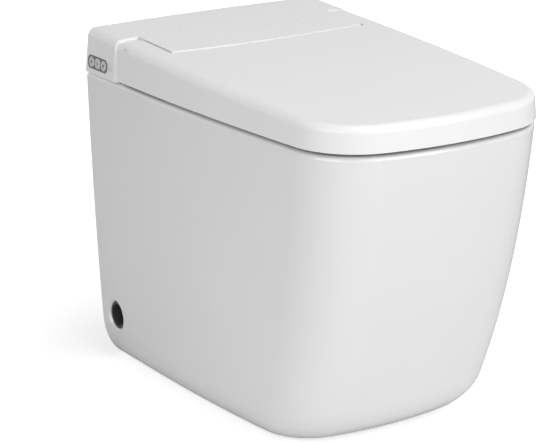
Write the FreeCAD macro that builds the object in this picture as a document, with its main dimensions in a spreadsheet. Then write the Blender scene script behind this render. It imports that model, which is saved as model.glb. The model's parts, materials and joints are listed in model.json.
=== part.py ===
"""Smart toilet with a heated seat, floor-standing and back to the wall, as separate pieces.

Lengths are millimetres. The pieces are drawn with y = 0 on the wall, -y towards the user and
z = 0 on the floor. Each piece's Placement then shifts it by back_y, so that the origin of the
whole lies on the floor under the middle of the toilet.
"""
import FreeCAD, Part
import Sketcher
import math
import os

SIZES = {
    # the vitreous china pan
    "pan_half": (190.0, "half width of the pan at the wall"),
    "pan_depth": (608.0, "wall to the front of the rim"),
    "pan_height": (426.0, "floor to the top of the rim"),
    "pan_straight": (150.0, "straight part of the side, from the wall"),
    "pan_bow": (4090.0, "radius of the bowed part of the side"),
    "pan_corner": (93.0, "radius of the front corners in plan"),
    "pan_nose": (492.0, "radius of the front in plan"),
    "side_lean": (6.5, "how far the side leans in from rim to floor"),
    "side_curve": (10.6, "extra inset of the side that grows towards the floor"),
    "front_lean": (62.0, "how far the front leans in from rim to floor"),
    "front_curve": (65.7, "extra inset of the front that grows towards the floor"),
    "foot_height": (63.0, "height of the rounded foot"),
    "foot_side": (39.8, "inset of the rounded foot at the sides"),
    "foot_front": (59.7, "inset of the rounded foot at the front"),
    "china": (13.0, "thickness of the china skirt and bowl"),
    "rim_slab": (28.0, "thickness of the rim and of the rear deck"),
    "rim_round": (6.0, "rounding of the rim's outer edge"),
    "back_y": (304.75, "shift from the wall to the middle of the toilet"),
    # the bowl and the trap
    "bowl_y": (-395.0, "middle of the bowl at the rim"),
    "bowl_half": (128.0, "half width of the bowl at the rim"),
    "bowl_long": (163.0, "half length of the bowl at the rim"),
    "bowl_end": (112.0, "radius of the bowl's ends at the rim"),
    "sump_y": (-355.0, "axis of the sump"),
    "trap_bore": (38.0, "inner radius of the trap"),
    "trap_wall": (9.0, "wall of the trap"),
    "trap_bend": (50.0, "bend radius of the trap's U"),
    "sump_floor": (125.0, "height of the U bend's centre"),
    "weir_centre": (245.0, "height of the trap's axis over the weir"),
    "outlet_height": (180.0, "height of the outlet's axis"),
    "outlet_end": (-50.0, "end face of the outlet spigot"),
    "spigot": (51.0, "outer radius of the outlet spigot"),
    "spigot_length": (44.0, "length of the outlet spigot"),
    "sump_entry": (195.0, "top of the trap's tube in the sump"),
    "bowl_low": (188.0, "lower end of the bowl's inside"),
    # the fixings low on each side
    "fixing_y": (-39.0, "fixing hole, from the wall"),
    "fixing_z": (76.0, "fixing hole, above the floor"),
    "fixing_hole": (20.0, "radius of the fixing hole in the china"),
    "fixing_flare": (23.5, "radius of the hole's countersink"),
    "fixing_face": (177.8, "china's side at the fixing hole, from the middle"),
    "sink_depth": (3.5, "depth of the hole's countersink"),
    "bowl_wall": (12.0, "thickness of the bowl"),
    "spud_end": (-192.0, "end face of the flush inlet boss"),
    # the wands
    "nozzle_y": (-170.0, "retracted tip of the wands, from the wall"),
    "nozzle_z": (415.0, "retracted tip of the wands, above the floor"),
    "nozzle_angle": (22.0, "slope of the wands, in degrees"),
    "nozzle_rise": (0.404, "rise of the wands' axis per length, tan of the slope"),
    # openings in the rear deck
    "chute_half": (44.0, "half width of the chute that the wands run in"),
    "service_half": (100.0, "half width of the deck's service opening"),
    "service_rear": (-28.0, "rear edge of the service opening"),
    "service_front": (-92.0, "front edge of the service opening"),
    "deck_bolt_x": (150.0, "seat unit's bolts, from the middle"),
    "deck_bolt_y": (-60.0, "seat unit's bolts, from the wall"),
    "deck_bolt_hole": (5.5, "radius of the bolt holes in the deck"),
    "spud_height": (345.0, "height of the flush inlet"),
    "spud_radius": (22.0, "outer radius of the flush inlet boss"),
    "spud_bore": (13.0, "radius of the flush inlet"),
    # the covers of the seat unit and the lid
    "overhang": (1.5, "how far lid and housing stand out over the pan"),
    "cover_wall": (3.0, "wall of the moulded covers"),
    "cover_taper": (4.0, "draft of the covers' sides, in degrees"),
    "crown_height": (490.6, "top of the covers at the wall, in the middle"),
    "crown_slope": (2.3, "fall of the covers' top towards the front, in degrees"),
    "crown_radius": (9000.0, "radius of the covers' shallow crown across"),
    "cover_round": (22.0, "rounding between top and sides of the covers"),
    "housing_base": (427.0, "lower edge of the rear housing"),
    "cheek_front": (-88.0, "front face of the housing's cheeks"),
    "cheek_round": (7.0, "rounding of the cheeks' front edges"),
    "plate_top": (430.0, "top of the seat unit's base plate"),
    "tongue_half": (152.0, "half width of the housing's tongue"),
    "tongue_side": (-175.0, "tongue's front at its corners"),
    "tongue_front": (-188.0, "tongue's front in the middle"),
    "lid_drop": (1.2, "how far the lid's top lies under the housing's"),
    "lid_base": (430.6, "lower edge of the lid"),
    "lid_groove": (2.5, "groove between the lid and the tongue"),
    # the hinge line that lid and seat share
    "hinge_y": (-112.0, "hinge axis, from the wall"),
    "hinge_z": (466.0, "hinge axis, above the floor"),
    "pin_radius": (5.0, "hinge pin"),
    "pin_play": (0.3, "radial clearance on the hinge pin"),
    "pin_end": (181.0, "outer end of the hinge pins"),
    "lid_tail": (23.2, "radius of the lid's rear edge about the hinge"),
    "lid_heel": (38.0, "radius of the lid's lower rear corner about the hinge"),
    "ear_inner": (158.5, "inner face of the seat's ears"),
    "ear_outer": (169.0, "outer face of the seat's ears"),
    # the seat
    "seat_inset": (9.0, "seat's edge inside the pan's edge"),
    "seat_low": (431.5, "underside of the seat"),
    "seat_split": (436.5, "joint between the seat's two mouldings"),
    "seat_top": (449.0, "top of the seat"),
    "seat_skin": (3.0, "wall of the seat's upper moulding"),
    "seat_rear": (-202.0, "rear edge of the seat ring"),
    "seat_hole_half": (108.0, "half width of the seat's opening"),
    "seat_hole_long": (146.0, "half length of the seat's opening"),
    "seat_hole_end": (96.0, "end radius of the seat's opening"),
    "liner_low": (452.0, "underside of the lid's liner"),
    "liner_thick": (2.5, "thickness of the lid's liner"),
    "liner_inset": (9.5, "liner's edge inside the pan's edge"),
    # the control panel on the left cheek
    "panel_y": (-34.0, "middle of the panel, from the wall"),
    "panel_z": (443.5, "middle of the panel, above the floor"),
    "panel_long": (57.0, "length of the panel"),
    "panel_high": (18.6, "height of the panel"),
    "panel_corner": (8.5, "corner radius of the panel"),
    "button_pitch": (17.0, "distance between buttons"),
    "button_radius": (7.3, "radius of the buttons"),
    "button_square": (14.4, "width of the middle button"),
    "button_corner": (5.0, "corner radius of the middle button"),
    "button_play": (0.3, "gap round each button"),
    "button_proud": (0.5, "how far the buttons stand out"),
    "status_y": (-70.7, "status window, from the wall"),
    "status_rise": (2.5, "status window above the panel's middle"),
    "status_radius": (6.6, "radius of the status window"),
    "tongue_round": (3.0, "rounding of the tongue's top front edge"),
    "seat_knuckle": (9.5, "radius of the seat's ears round the hinge pin"),
    "seat_corner": (14.0, "rounding of the seat's rear corners in plan"),
    "seat_round": (7.0, "rounding of the seat's upper edges"),
    # the rack drive of the wands
    "wand_radius": (6.0, "radius of a wand"),
    "wand_length": (130.0, "length of a wand"),
    "rack_line": (13.0, "pitch line of the rack above the wand's axis"),
    "gear_module": (1.0, "module of rack and pinion"),
    "pinion_along": (16.0, "pinion's axis behind the retracted tips, along the wands"),
    # fan, inlet
    "fan_y": (-58.0, "fan's axis, from the wall"),
    "fan_z": (457.0, "fan's axis, above the floor"),
    "inlet_x": (-66.5, "water inlet, from the middle"),
    "inlet_y": (-60.0, "water inlet, from the wall"),
    "inlet_low": (378.0, "lower end of the water inlet"),
    "inlet_thread": (24.0, "length of the water inlet's thread"),
    "inlet_radius": (10.0, "outer radius of the water inlet's thread"),
    "floor_bolt_x": (92.0, "bolts of the floor brackets, from the middle"),
}


class Size:
    """A number together with the sheet formula that it comes from."""

    def __init__(self, value, formula):
        self.value = float(value)
        self.formula = formula

    def __add__(self, other):
        other = as_size(other)
        return Size(self.value + other.value, f"({self.formula} + {other.formula})")

    def __sub__(self, other):
        other = as_size(other)
        return Size(self.value - other.value, f"({self.formula} - {other.formula})")

    def __mul__(self, other):
        other = as_size(other)
        return Size(self.value * other.value, f"({self.formula} * {other.formula})")

    def __truediv__(self, other):
        other = as_size(other)
        return Size(self.value / other.value, f"({self.formula} / {other.formula})")

    def __pow__(self, power):
        return Size(self.value ** power, f"({self.formula} ^ {power})")

    def __neg__(self):
        return Size(-self.value, f"(-1 * {self.formula})")

    def __radd__(self, other):
        return as_size(other) + self

    def __rsub__(self, other):
        return as_size(other) - self

    def __rmul__(self, other):
        return as_size(other) * self


def as_size(number):
    """A plain number counts as a size whose formula is the number itself."""
    if isinstance(number, Size):
        return number
    return Size(number, f"({float(number):.6f})")


def root(size):
    return Size(math.sqrt(size.value), f"sqrt({size.formula})")


def sine(angle):
    return Size(math.sin(math.radians(angle.value)), f"sin({angle.formula} * 1 deg)")


def cosine(angle):
    return Size(math.cos(math.radians(angle.value)), f"cos({angle.formula} * 1 deg)")


def fill_sheet(sheet):
    """Write each driving dimension to the sheet and give its cell the dimension's name."""
    for row, (name, (number, meaning)) in enumerate(SIZES.items(), start=1):
        sheet.set(f"A{row}", meaning)
        sheet.set(f"B{row}", str(number))
        sheet.setAlias(f"B{row}", name)


doc = FreeCAD.newDocument("smart_toilet")
dims = doc.addObject("Spreadsheet::Sheet", "Dims")
fill_sheet(dims)
doc.recompute()


def size(name):
    return Size(dims.get(name), f"Dims.{name}")


PIECES = []
PLACES = {}


def bind(item, prop, value):
    """Tie a property to the sheet."""
    item.setExpression(prop, as_size(value).formula)


def piece(item, label):
    """Name a finished piece and move it from the wall frame to the toilet's own frame."""
    item.Label = label
    x, y, z = PLACES.get(item.Name, (0, 0, 0))
    bind(item, "Placement.Base.y", y + size("back_y"))
    PIECES.append(item)
    return item


# ---------------------------------------------------------------- sketches and features

PLANES = {"XY": "XY_Plane", "XZ": "XZ_Plane", "YZ": "YZ_Plane"}


def new_body(name):
    return doc.addObject("PartDesign::Body", name)


def new_sketch(body, name, plane, offset=0):
    """A sketch on one of the body's own origin planes, offset along the plane's normal."""
    sketch = body.newObject("Sketcher::SketchObject", name)
    for feature in body.Origin.OriginFeatures:
        if feature.Role == PLANES[plane]:
            sketch.AttachmentSupport = [(feature, "")]
    sketch.MapMode = "FlatFace"
    bind(sketch, "AttachmentOffset.Base.z", offset)
    return sketch


def drive(sketch, kind, *places):
    """Add a dimension whose last argument is a size, and bind it to the sheet."""
    value = as_size(places[-1])
    if kind in ("DistanceX", "DistanceY") and abs(value.value) < 1e-9:
        axis = -2 if kind == "DistanceX" else -1
        sketch.addConstraint(Sketcher.Constraint("PointOnObject", places[-3], places[-2], axis))
        return
    sketch.addConstraint(Sketcher.Constraint(kind, *places[:-1], value.value))
    sketch.setExpression(f"Constraints[{sketch.ConstraintCount - 1}]", value.formula)


def circle(sketch, x, y, radius):
    x, y, radius = as_size(x), as_size(y), as_size(radius)
    centre = FreeCAD.Vector(x.value, y.value, 0)
    index = sketch.addGeometry(Part.Circle(centre, FreeCAD.Vector(0, 0, 1), radius.value))
    drive(sketch, "Radius", index, radius)
    drive(sketch, "DistanceX", -1, 1, index, 3, x)
    drive(sketch, "DistanceY", -1, 1, index, 3, y)


def arc_between(start, end, radius, turn):
    """The short arc from start to end; turn is +1 anticlockwise and -1 clockwise."""
    middle = (start + end) * 0.5
    chord = end - start
    rise = math.sqrt(max(radius ** 2 - (chord.Length / 2) ** 2, 0))
    left = FreeCAD.Vector(-chord.y, chord.x, 0).normalize()
    centre = middle + left * rise * turn
    first, last = (start, end) if turn > 0 else (end, start)
    angles = [math.atan2(point.y - centre.y, point.x - centre.x) for point in (first, last)]
    ring = Part.Circle(centre, FreeCAD.Vector(0, 0, 1), radius)
    return Part.ArcOfCircle(ring, angles[0], angles[1])


def profile(sketch, corners, arcs=None):
    """A closed outline through corners; arcs maps an edge's number to its (radius, turn).

    Edge n runs from corner n to the next one. Every corner is pinned to the sheet's formulas.
    """
    arcs = arcs or {}
    corners = [(as_size(x), as_size(y)) for x, y in corners]
    points = [FreeCAD.Vector(x.value, y.value, 0) for x, y in corners]
    ends = []
    base = sketch.GeometryCount
    for number, start in enumerate(points):
        end = points[(number + 1) % len(points)]
        if number in arcs:
            radius, turn = arcs[number]
            sketch.addGeometry(arc_between(start, end, as_size(radius).value, turn))
            ends.append((1, 2) if turn > 0 else (2, 1))
        else:
            sketch.addGeometry(Part.LineSegment(start, end))
            ends.append((1, 2))
    for number in range(len(points)):
        following = (number + 1) % len(points)
        sketch.addConstraint(Sketcher.Constraint(
            "Coincident", base + number, ends[number][1], base + following, ends[following][0]))
    for number, (x, y) in enumerate(corners):
        drive(sketch, "DistanceX", -1, 1, base + number, ends[number][0], x)
        drive(sketch, "DistanceY", -1, 1, base + number, ends[number][0], y)
    for number, (radius, turn) in arcs.items():
        drive(sketch, "Radius", base + number, radius)


def rectangle(sketch, x0, x1, y0, y1):
    profile(sketch, [(x0, y0), (x1, y0), (x1, y1), (x0, y1)])


def pad(body, sketch, length, reverse=False, both=False, taper=None):
    feature = body.newObject("PartDesign::Pad", sketch.Name + "_pad")
    feature.Profile = sketch
    if both:
        feature.SideType = "Symmetric"
    feature.Reversed = reverse
    bind(feature, "Length", length)
    if taper is not None:
        bind(feature, "TaperAngle", taper)
    return feature


def pocket(body, sketch, length, reverse=False, both=False):
    feature = body.newObject("PartDesign::Pocket", sketch.Name + "_pocket")
    feature.Profile = sketch
    if both:
        feature.SideType = "Symmetric"
    feature.Reversed = reverse
    bind(feature, "Length", length)
    return feature


def loft(body, sketches):
    feature = body.newObject("PartDesign::AdditiveLoft", sketches[0].Name + "_loft")
    feature.Profile = sketches[0]
    feature.Sections = sketches[1:]
    return feature


def sweep(body, section, spine, cut=False):
    kind = "PartDesign::SubtractivePipe" if cut else "PartDesign::AdditivePipe"
    feature = body.newObject(kind, section.Name + "_pipe")
    feature.Profile = section
    feature.Spine = (spine, [])
    return feature


def edge_names(item, wanted):
    """The names of the edges of an item's shape for which wanted(edge) is true."""
    return [f"Edge{number}" for number, edge in enumerate(item.Shape.Edges, start=1) if wanted(edge)]


def fillet(body, base, wanted, radius):
    doc.recompute()
    feature = body.newObject("PartDesign::Fillet", base.Name + "_round")
    feature.Base = (base, edge_names(base, wanted))
    bind(feature, "Radius", radius)
    return feature


def within(edge, x=None, y=None, z=None):
    """True if the whole edge lies between the given limits."""
    box = edge.BoundBox
    for limits, low, high in ((x, box.XMin, box.XMax), (y, box.YMin, box.YMax), (z, box.ZMin, box.ZMax)):
        if limits is not None and (low < limits[0] or high > limits[1]):
            return False
    return True


# ---------------------------------------------------------------- the plan of pan, seat and lid


def plan(inset=0, across=1, along=1):
    """The pan's outline as a dictionary of sizes, scaled and then moved inwards by inset."""
    across, along = as_size(across), as_size(along)
    return {
        "half": size("pan_half") * across - inset,
        "depth": size("pan_depth") * along - inset,
        "straight": size("pan_straight") * along,
        "bow": size("pan_bow") * along * along / across - inset,
        "corner": size("pan_corner") * root(across * along) - inset,
        "nose": size("pan_nose") * across * across / along - inset,
    }


def corner_centre(shape):
    """Where the corner arc's centre lies, tangent inside to the bowed side and to the nose."""
    values = {name: part.value for name, part in shape.items()}
    side = FreeCAD.Vector(values["half"] - values["bow"], -values["straight"], 0)
    nose = FreeCAD.Vector(0, values["nose"] - values["depth"], 0)
    reach_side = values["bow"] - values["corner"]
    reach_nose = values["nose"] - values["corner"]
    gap = nose - side
    along = (reach_side ** 2 - reach_nose ** 2 + gap.Length ** 2) / (2 * gap.Length)
    rise = math.sqrt(reach_side ** 2 - along ** 2)
    unit = FreeCAD.Vector(gap).normalize()
    normal = FreeCAD.Vector(unit.y, -unit.x, 0)
    return side, nose, side + unit * along + normal * rise


def bowed_outline(sketch, shape, rear=0):
    """Draw the pan's plan: straight rear, bowed sides, round corners and a bowed nose."""
    rear = as_size(rear)
    side, nose, corner = corner_centre(shape)
    up = FreeCAD.Vector(0, 0, 1)
    bow, bend, front = shape["bow"].value, shape["corner"].value, shape["nose"].value
    half, straight = shape["half"].value, -shape["straight"].value
    side_angle = math.atan2(corner.y - side.y, corner.x - side.x)
    nose_angle = math.atan2(corner.y - nose.y, corner.x - nose.x)
    rings = [Part.Circle(side, up, bow), Part.Circle(corner, up, bend), Part.Circle(nose, up, front)]
    left_corner = Part.Circle(FreeCAD.Vector(-corner.x, corner.y, 0), up, bend)
    left_side = Part.Circle(FreeCAD.Vector(-side.x, side.y, 0), up, bow)
    point = FreeCAD.Vector
    base = sketch.GeometryCount
    sketch.addGeometry([
        Part.LineSegment(point(-half, rear.value, 0), point(half, rear.value, 0)),
        Part.LineSegment(point(half, rear.value, 0), point(half, straight, 0)),
        Part.ArcOfCircle(rings[0], side_angle, 0),
        Part.ArcOfCircle(rings[1], nose_angle, side_angle),
        Part.ArcOfCircle(rings[2], -math.pi - nose_angle, nose_angle),
        Part.ArcOfCircle(left_corner, -math.pi - side_angle, -math.pi - nose_angle),
        Part.ArcOfCircle(left_side, math.pi, math.pi - side_angle),
        Part.LineSegment(point(-half, straight, 0), point(-half, rear.value, 0)),
    ])
    joints = [(0, 2, 1, 1, "Coincident"), (1, 2, 2, 2, "Tangent"), (2, 1, 3, 2, "Tangent"),
              (3, 1, 4, 2, "Tangent"), (4, 1, 5, 2, "Tangent"), (5, 1, 6, 2, "Tangent"),
              (6, 1, 7, 1, "Tangent"), (7, 2, 0, 1, "Coincident")]
    for first, end, second, start, kind in joints:
        sketch.addConstraint(Sketcher.Constraint(kind, base + first, end, base + second, start))
    sketch.addConstraint(Sketcher.Constraint("Vertical", base + 1))
    sketch.addConstraint(Sketcher.Constraint("Symmetric", base + 1, 1, base + 7, 2, -2))
    sketch.addConstraint(Sketcher.Constraint("Symmetric", base + 1, 2, base + 7, 1, -2))
    sketch.addConstraint(Sketcher.Constraint("Equal", base + 2, base + 6))
    sketch.addConstraint(Sketcher.Constraint("Equal", base + 3, base + 5))
    sketch.addConstraint(Sketcher.Constraint("PointOnObject", base + 4, 3, -2))
    drive(sketch, "DistanceX", -1, 1, base + 1, 1, shape["half"])
    drive(sketch, "DistanceY", -1, 1, base + 1, 1, rear)
    drive(sketch, "DistanceY", -1, 1, base + 1, 2, -shape["straight"])
    drive(sketch, "Radius", base + 2, shape["bow"])
    drive(sketch, "Radius", base + 3, shape["corner"])
    drive(sketch, "Radius", base + 4, shape["nose"])
    drive(sketch, "DistanceY", -1, 1, base + 4, 3, shape["nose"] - shape["depth"])


def oval(sketch, middle, half, long, end):
    """An oval of four tangent arcs: two ends of radius end, two long sides."""
    middle, half, long, end = as_size(middle), as_size(half), as_size(long), as_size(end)
    reach = long - end
    flank = (half * half + reach * reach - end * end) / (2 * (half - end))
    up = FreeCAD.Vector(0, 0, 1)
    centres = [FreeCAD.Vector(half.value - flank.value, middle.value, 0),
               FreeCAD.Vector(0, middle.value + reach.value, 0),
               FreeCAD.Vector(flank.value - half.value, middle.value, 0),
               FreeCAD.Vector(0, middle.value - reach.value, 0)]
    turn = math.atan2(reach.value, flank.value - half.value)
    base = sketch.GeometryCount
    sketch.addGeometry([
        Part.ArcOfCircle(Part.Circle(centres[0], up, flank.value), -turn, turn),
        Part.ArcOfCircle(Part.Circle(centres[1], up, end.value), turn, math.pi - turn),
        Part.ArcOfCircle(Part.Circle(centres[2], up, flank.value), math.pi - turn, math.pi + turn),
        Part.ArcOfCircle(Part.Circle(centres[3], up, end.value), math.pi + turn, 2 * math.pi - turn),
    ])
    for first, second in ((0, 1), (1, 2), (2, 3), (3, 0)):
        sketch.addConstraint(Sketcher.Constraint("Tangent", base + first, 2, base + second, 1))
    sketch.addConstraint(Sketcher.Constraint("PointOnObject", base + 1, 3, -2))
    sketch.addConstraint(Sketcher.Constraint("PointOnObject", base + 3, 3, -2))
    sketch.addConstraint(Sketcher.Constraint("Equal", base, base + 2))
    drive(sketch, "Radius", base, flank)
    drive(sketch, "Radius", base + 1, end)
    drive(sketch, "Radius", base + 3, end)
    drive(sketch, "DistanceY", -1, 1, base + 1, 3, middle + reach)
    drive(sketch, "DistanceY", -1, 1, base + 3, 3, middle - reach)


# ---------------------------------------------------------------- the china pan


def skirt_scale(height, foot_turn=None):
    """How much the pan's plan shrinks across and along at a height above the floor.

    foot_turn is the angle round the foot's quarter ellipse, 0 on the floor and 90 at its top.
    """
    fall = (size("pan_height") - height) / size("pan_height")
    side = size("side_lean") * fall + size("side_curve") * fall ** 2.2
    front = size("front_lean") * fall + size("front_curve") * fall ** 2.45
    if foot_turn is not None:
        tuck = 1 - math.sin(math.radians(foot_turn))
        side = side + size("foot_side") * tuck
        front = front + size("foot_front") * tuck
    return 1 - side / size("pan_half"), 1 - front / size("pan_depth")


def skirt_sections(body, name, inset, rear, stations):
    sketches = []
    for number, (height, across, along) in enumerate(stations):
        sketch = new_sketch(body, f"{name}_{number}", "XY", height)
        bowed_outline(sketch, plan(inset, across, along), rear)
        sketches.append(sketch)
    return sketches


def skirt_loft(body, name, inset, top, rear):
    """The skirt in two lofts that meet at the top of the foot: the round foot and the long rise."""
    foot, rise = [], []
    for turn in (0, 22.5, 45, 67.5, 90):
        height = size("foot_height") * (1 - math.cos(math.radians(turn)))
        foot.append((height, *skirt_scale(height, turn)))
    for step in range(4):
        height = size("foot_height") + (top - size("foot_height")) * (step / 3)
        rise.append((height, *skirt_scale(height)))
    loft(body, skirt_sections(body, name + "_foot", inset, rear, foot))
    return loft(body, skirt_sections(body, name + "_rise", inset, rear, rise))


BOWL_SECTIONS = (
    # share of the way down, then how middle, width, length and end radius compare with the rim
    (0.00, 0.00, 1.00, 1.00, 1.00),
    (0.20, 0.05, 0.99, 0.98, 0.99),
    (0.42, 0.20, 0.90, 0.90, 0.89),
    (0.66, 0.50, 0.69, 0.67, 0.66),
    (0.86, 0.88, 0.44, 0.38, 0.44),
    (1.00, 1.00, 0.32, 0.26, 0.33),
)


def bowl_loft(body, name, wall, top, bottom):
    """The bowl from the rim down to the sump, as a loft of ovals; wall makes it larger."""
    sketches = []
    for number, (down, shift, wide, long, end) in enumerate(BOWL_SECTIONS):
        height = top - (top - bottom) * down
        middle = size("bowl_y") + (size("sump_y") - size("bowl_y")) * shift
        sketch = new_sketch(body, f"{name}_{number}", "XY", height)
        oval(sketch, middle, size("bowl_half") * wide + wall, size("bowl_long") * long + wall,
             size("bowl_end") * end + wall)
        sketches.append(sketch)
    return loft(body, sketches)


def trap_route(body, name):
    """The trap's centre line in the middle plane: down the sump, up over the weir, out behind."""
    sketch = new_sketch(body, name, "YZ")
    bend = size("trap_bend")
    sump, floor = size("sump_y"), size("sump_floor")
    crest = size("weir_centre")
    rise_y = sump + bend * 2
    crest_y = rise_y + bend
    drop = crest - size("outlet_height")
    turn = math.radians(45)
    fall = drop - 2 * bend * (1 - math.cos(turn))
    slope_start = (crest_y + bend * math.sin(turn), crest - bend * (1 - math.cos(turn)))
    slope_end = (slope_start[0] + fall, slope_start[1] - fall)
    level_y = slope_end[0] + bend * math.sin(turn)
    points = [(sump, size("sump_entry")), (sump, floor), (rise_y, floor),
              (rise_y, crest - bend), (crest_y, crest), slope_start, slope_end,
              (level_y, size("outlet_height")), (size("outlet_end"), size("outlet_height"))]
    arcs = {1: 1, 3: -1, 4: -1, 6: 1}
    points = [(as_size(y), as_size(z)) for y, z in points]
    spots = [FreeCAD.Vector(y.value, z.value, 0) for y, z in points]
    for number in range(len(spots) - 1):
        if number in arcs:
            arc = arc_between(spots[number], spots[number + 1], bend.value, arcs[number])
            sketch.addGeometry(arc)
        else:
            sketch.addGeometry(Part.LineSegment(spots[number], spots[number + 1]))
    starts = [2 if arcs.get(number) == -1 else 1 for number in range(len(spots) - 1)]
    for number, (y, z) in enumerate(points[:-1]):
        drive(sketch, "DistanceX", -1, 1, number, starts[number], y)
        drive(sketch, "DistanceY", -1, 1, number, starts[number], z)
        if number:
            sketch.addConstraint(Sketcher.Constraint(
                "Coincident", number - 1, 3 - starts[number - 1], number, starts[number]))
    last = len(spots) - 2
    drive(sketch, "DistanceX", -1, 1, last, 2, points[-1][0])
    drive(sketch, "DistanceY", -1, 1, last, 2, points[-1][1])
    for number in (3, 4, 6):
        drive(sketch, "Radius", number, bend)
    return sketch


def trap_sweep(body, name, radius):
    section = new_sketch(body, name, "XY", size("sump_entry"))
    circle(section, 0, size("sump_y"), radius)
    return sweep(body, section, trap_route(body, name + "_route"))


def chute_line(y, below):
    """Height of a line under the wands' axis and parallel to it."""
    return size("nozzle_z") + (y - size("nozzle_y")) * size("nozzle_rise") - below


def slab_low():
    return size("pan_height") - size("rim_slab")


def chute_block(name):
    """The channel that the wands and the warm air use, through the deck and into the bowl."""
    body = new_body(name)
    side = new_sketch(body, name + "_side", "YZ")
    top = size("pan_height") + 1
    profile(side, [(-250, chute_line(-250, 12)), (-112, chute_line(-112, 12)), (-106, top), (-250, top)])
    pad(body, side, size("chute_half") * 2, both=True)
    return body


def rim_edge(edge):
    """An edge round the outside of the rim's top, apart from the one at the wall."""
    rim = size("pan_height").value
    on_top = within(edge, z=(rim - 0.01, rim + 0.01))
    return on_top and (edge.BoundBox.YMin < -596 or within(edge, x=(175, 191)) or within(edge, x=(-191, -175)))


def make_skirt(core):
    """The china's outside: the walls round the core, open behind, with the fixing holes."""
    body = new_body("skirt_body")
    skirt_loft(body, "skirt", 0, size("pan_height"), 3)
    back = new_sketch(body, "skirt_back", "XZ")
    rectangle(back, -200, 200, -1, size("pan_height") + 1)
    last = pocket(body, back, 10)
    fillet(body, last, rim_edge, size("rim_round"))
    y, z = size("fixing_y"), size("fixing_z")
    hole = rod_x("fixing_drill", 150, 195, y, z, size("fixing_hole"))
    sink = doc.addObject("Part::Cone", "fixing_sink")
    past = 4
    steep = (size("fixing_flare") - size("fixing_hole")) / size("sink_depth")
    bind(sink, "Radius1", size("fixing_hole"))
    bind(sink, "Radius2", size("fixing_flare") + steep * past)
    bind(sink, "Height", size("sink_depth") + past)
    sink.Placement = FreeCAD.Placement(
        FreeCAD.Vector(0, 0, 0), FreeCAD.Rotation(FreeCAD.Vector(0, 1, 0), 90))
    place(sink, size("fixing_face") - size("sink_depth"), y, z)
    drill = mirrored("fixing_drills", fused("fixing_cutter", hole, sink))
    walls = boolean("Cut", "skirt_walls", body, core)
    return piece(boolean("Cut", "skirt_drilled", walls, drill), "ceramic_pan")


def make_rim(core, hollow, chute):
    """The rim and the rear deck: a slab inside the walls with the bowl's mouth and its openings."""
    low = slab_low()
    over = size("pan_height") + 10
    slab = boolean("Common", "rim_slab_solid", core, box("rim_zone", -200, 200, -620, 0, low, over))
    half = size("service_half")
    service = box("service_opening", -half, half, size("service_front"), size("service_rear"), low - 1, over)
    bolts = [rod_z(f"deck_hole_{number}", size("deck_bolt_x") * side, size("deck_bolt_y"), low - 1, over,
                   size("deck_bolt_hole")) for number, side in enumerate((-1, 1))]
    return piece(boolean("Cut", "rim_open", slab, group("rim_cutters", hollow, chute, service, *bolts)), "pan_rim")


def make_bowl(hollow, chute, trap):
    """The bowl below the rim, with the wands' channel, the flush inlet's boss and its web."""
    low = slab_low()
    body = new_body("bowl_body")
    bowl_loft(body, "bowl_wall", size("bowl_wall"), size("pan_height") - 10, 178)
    web = new_sketch(body, "web", "YZ")
    rectangle(web, -240, -203, size("weir_centre") + 20, low + 1)
    pad(body, web, size("china"), both=True)
    spud = new_sketch(body, "spud", "XZ", -size("spud_end"))
    circle(spud, 0, size("spud_height"), size("spud_radius"))
    pad(body, spud, 55)
    floor = new_sketch(body, "chute_floor", "YZ")
    profile(floor, [(-235, chute_line(-235, 23)), (-154, low + 1), (-235, low + 1)])
    pad(body, floor, size("chute_half") * 2 + 20, both=True)
    above = box("bowl_zone", -200, 200, -620, 0, low, size("pan_height") + 10)
    jet = rod_y("spud_hole", 0, size("spud_end") + 1, size("spud_end") - 70, size("spud_height"), size("spud_bore"))
    cutters = group("bowl_cutters", above, trap)
    solid = boolean("Cut", "bowl_below_rim", body, cutters)
    return piece(boolean("Cut", "bowl_open", solid, group("bowl_hollows", hollow, chute, jet)), "pan_bowl")


def make_trap(hollow, trap):
    """The trap's U bend and, behind the weir, the outlet with its spigot."""
    bore = new_body("trap_bore_body")
    trap_sweep(bore, "trap_bore_ring", size("trap_bore"))
    spigot = rod_y("spigot_ring", 0, size("outlet_end"), size("outlet_end") - size("spigot_length"),
                   size("outlet_height"), size("spigot"))
    tube = boolean("Cut", "trap_tube", fused("trap_spigot", trap, spigot), group("trap_cutters", bore, hollow))
    weir_y = size("sump_y") + size("trap_bend") * 3
    behind = box("outlet_zone", -80, 80, weir_y, 0, 0, size("pan_height"))
    piece(boolean("Cut", "trap_front", tube, behind), "pan_trap")
    piece(boolean("Common", "trap_rear", tube, behind), "pan_outlet")


def make_pan():
    """The china, in five solids that touch: walls, rim, bowl, trap and outlet."""
    core = new_body("core_body")
    skirt_loft(core, "core", size("china"), size("pan_height"), 5)
    hollow = new_body("bowl_hollow_body")
    bowl_loft(hollow, "bowl_hollow", 0, size("pan_height"), size("bowl_low"))
    trap = new_body("trap_body")
    trap_sweep(trap, "trap_ring", size("trap_bore") + size("trap_wall"))
    chute = chute_block("chute_body")
    make_skirt(core)
    make_rim(core, hollow, chute)
    make_bowl(hollow, chute, trap)
    make_trap(hollow, trap)


# ---------------------------------------------------------------- covers with a crowned top


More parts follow.
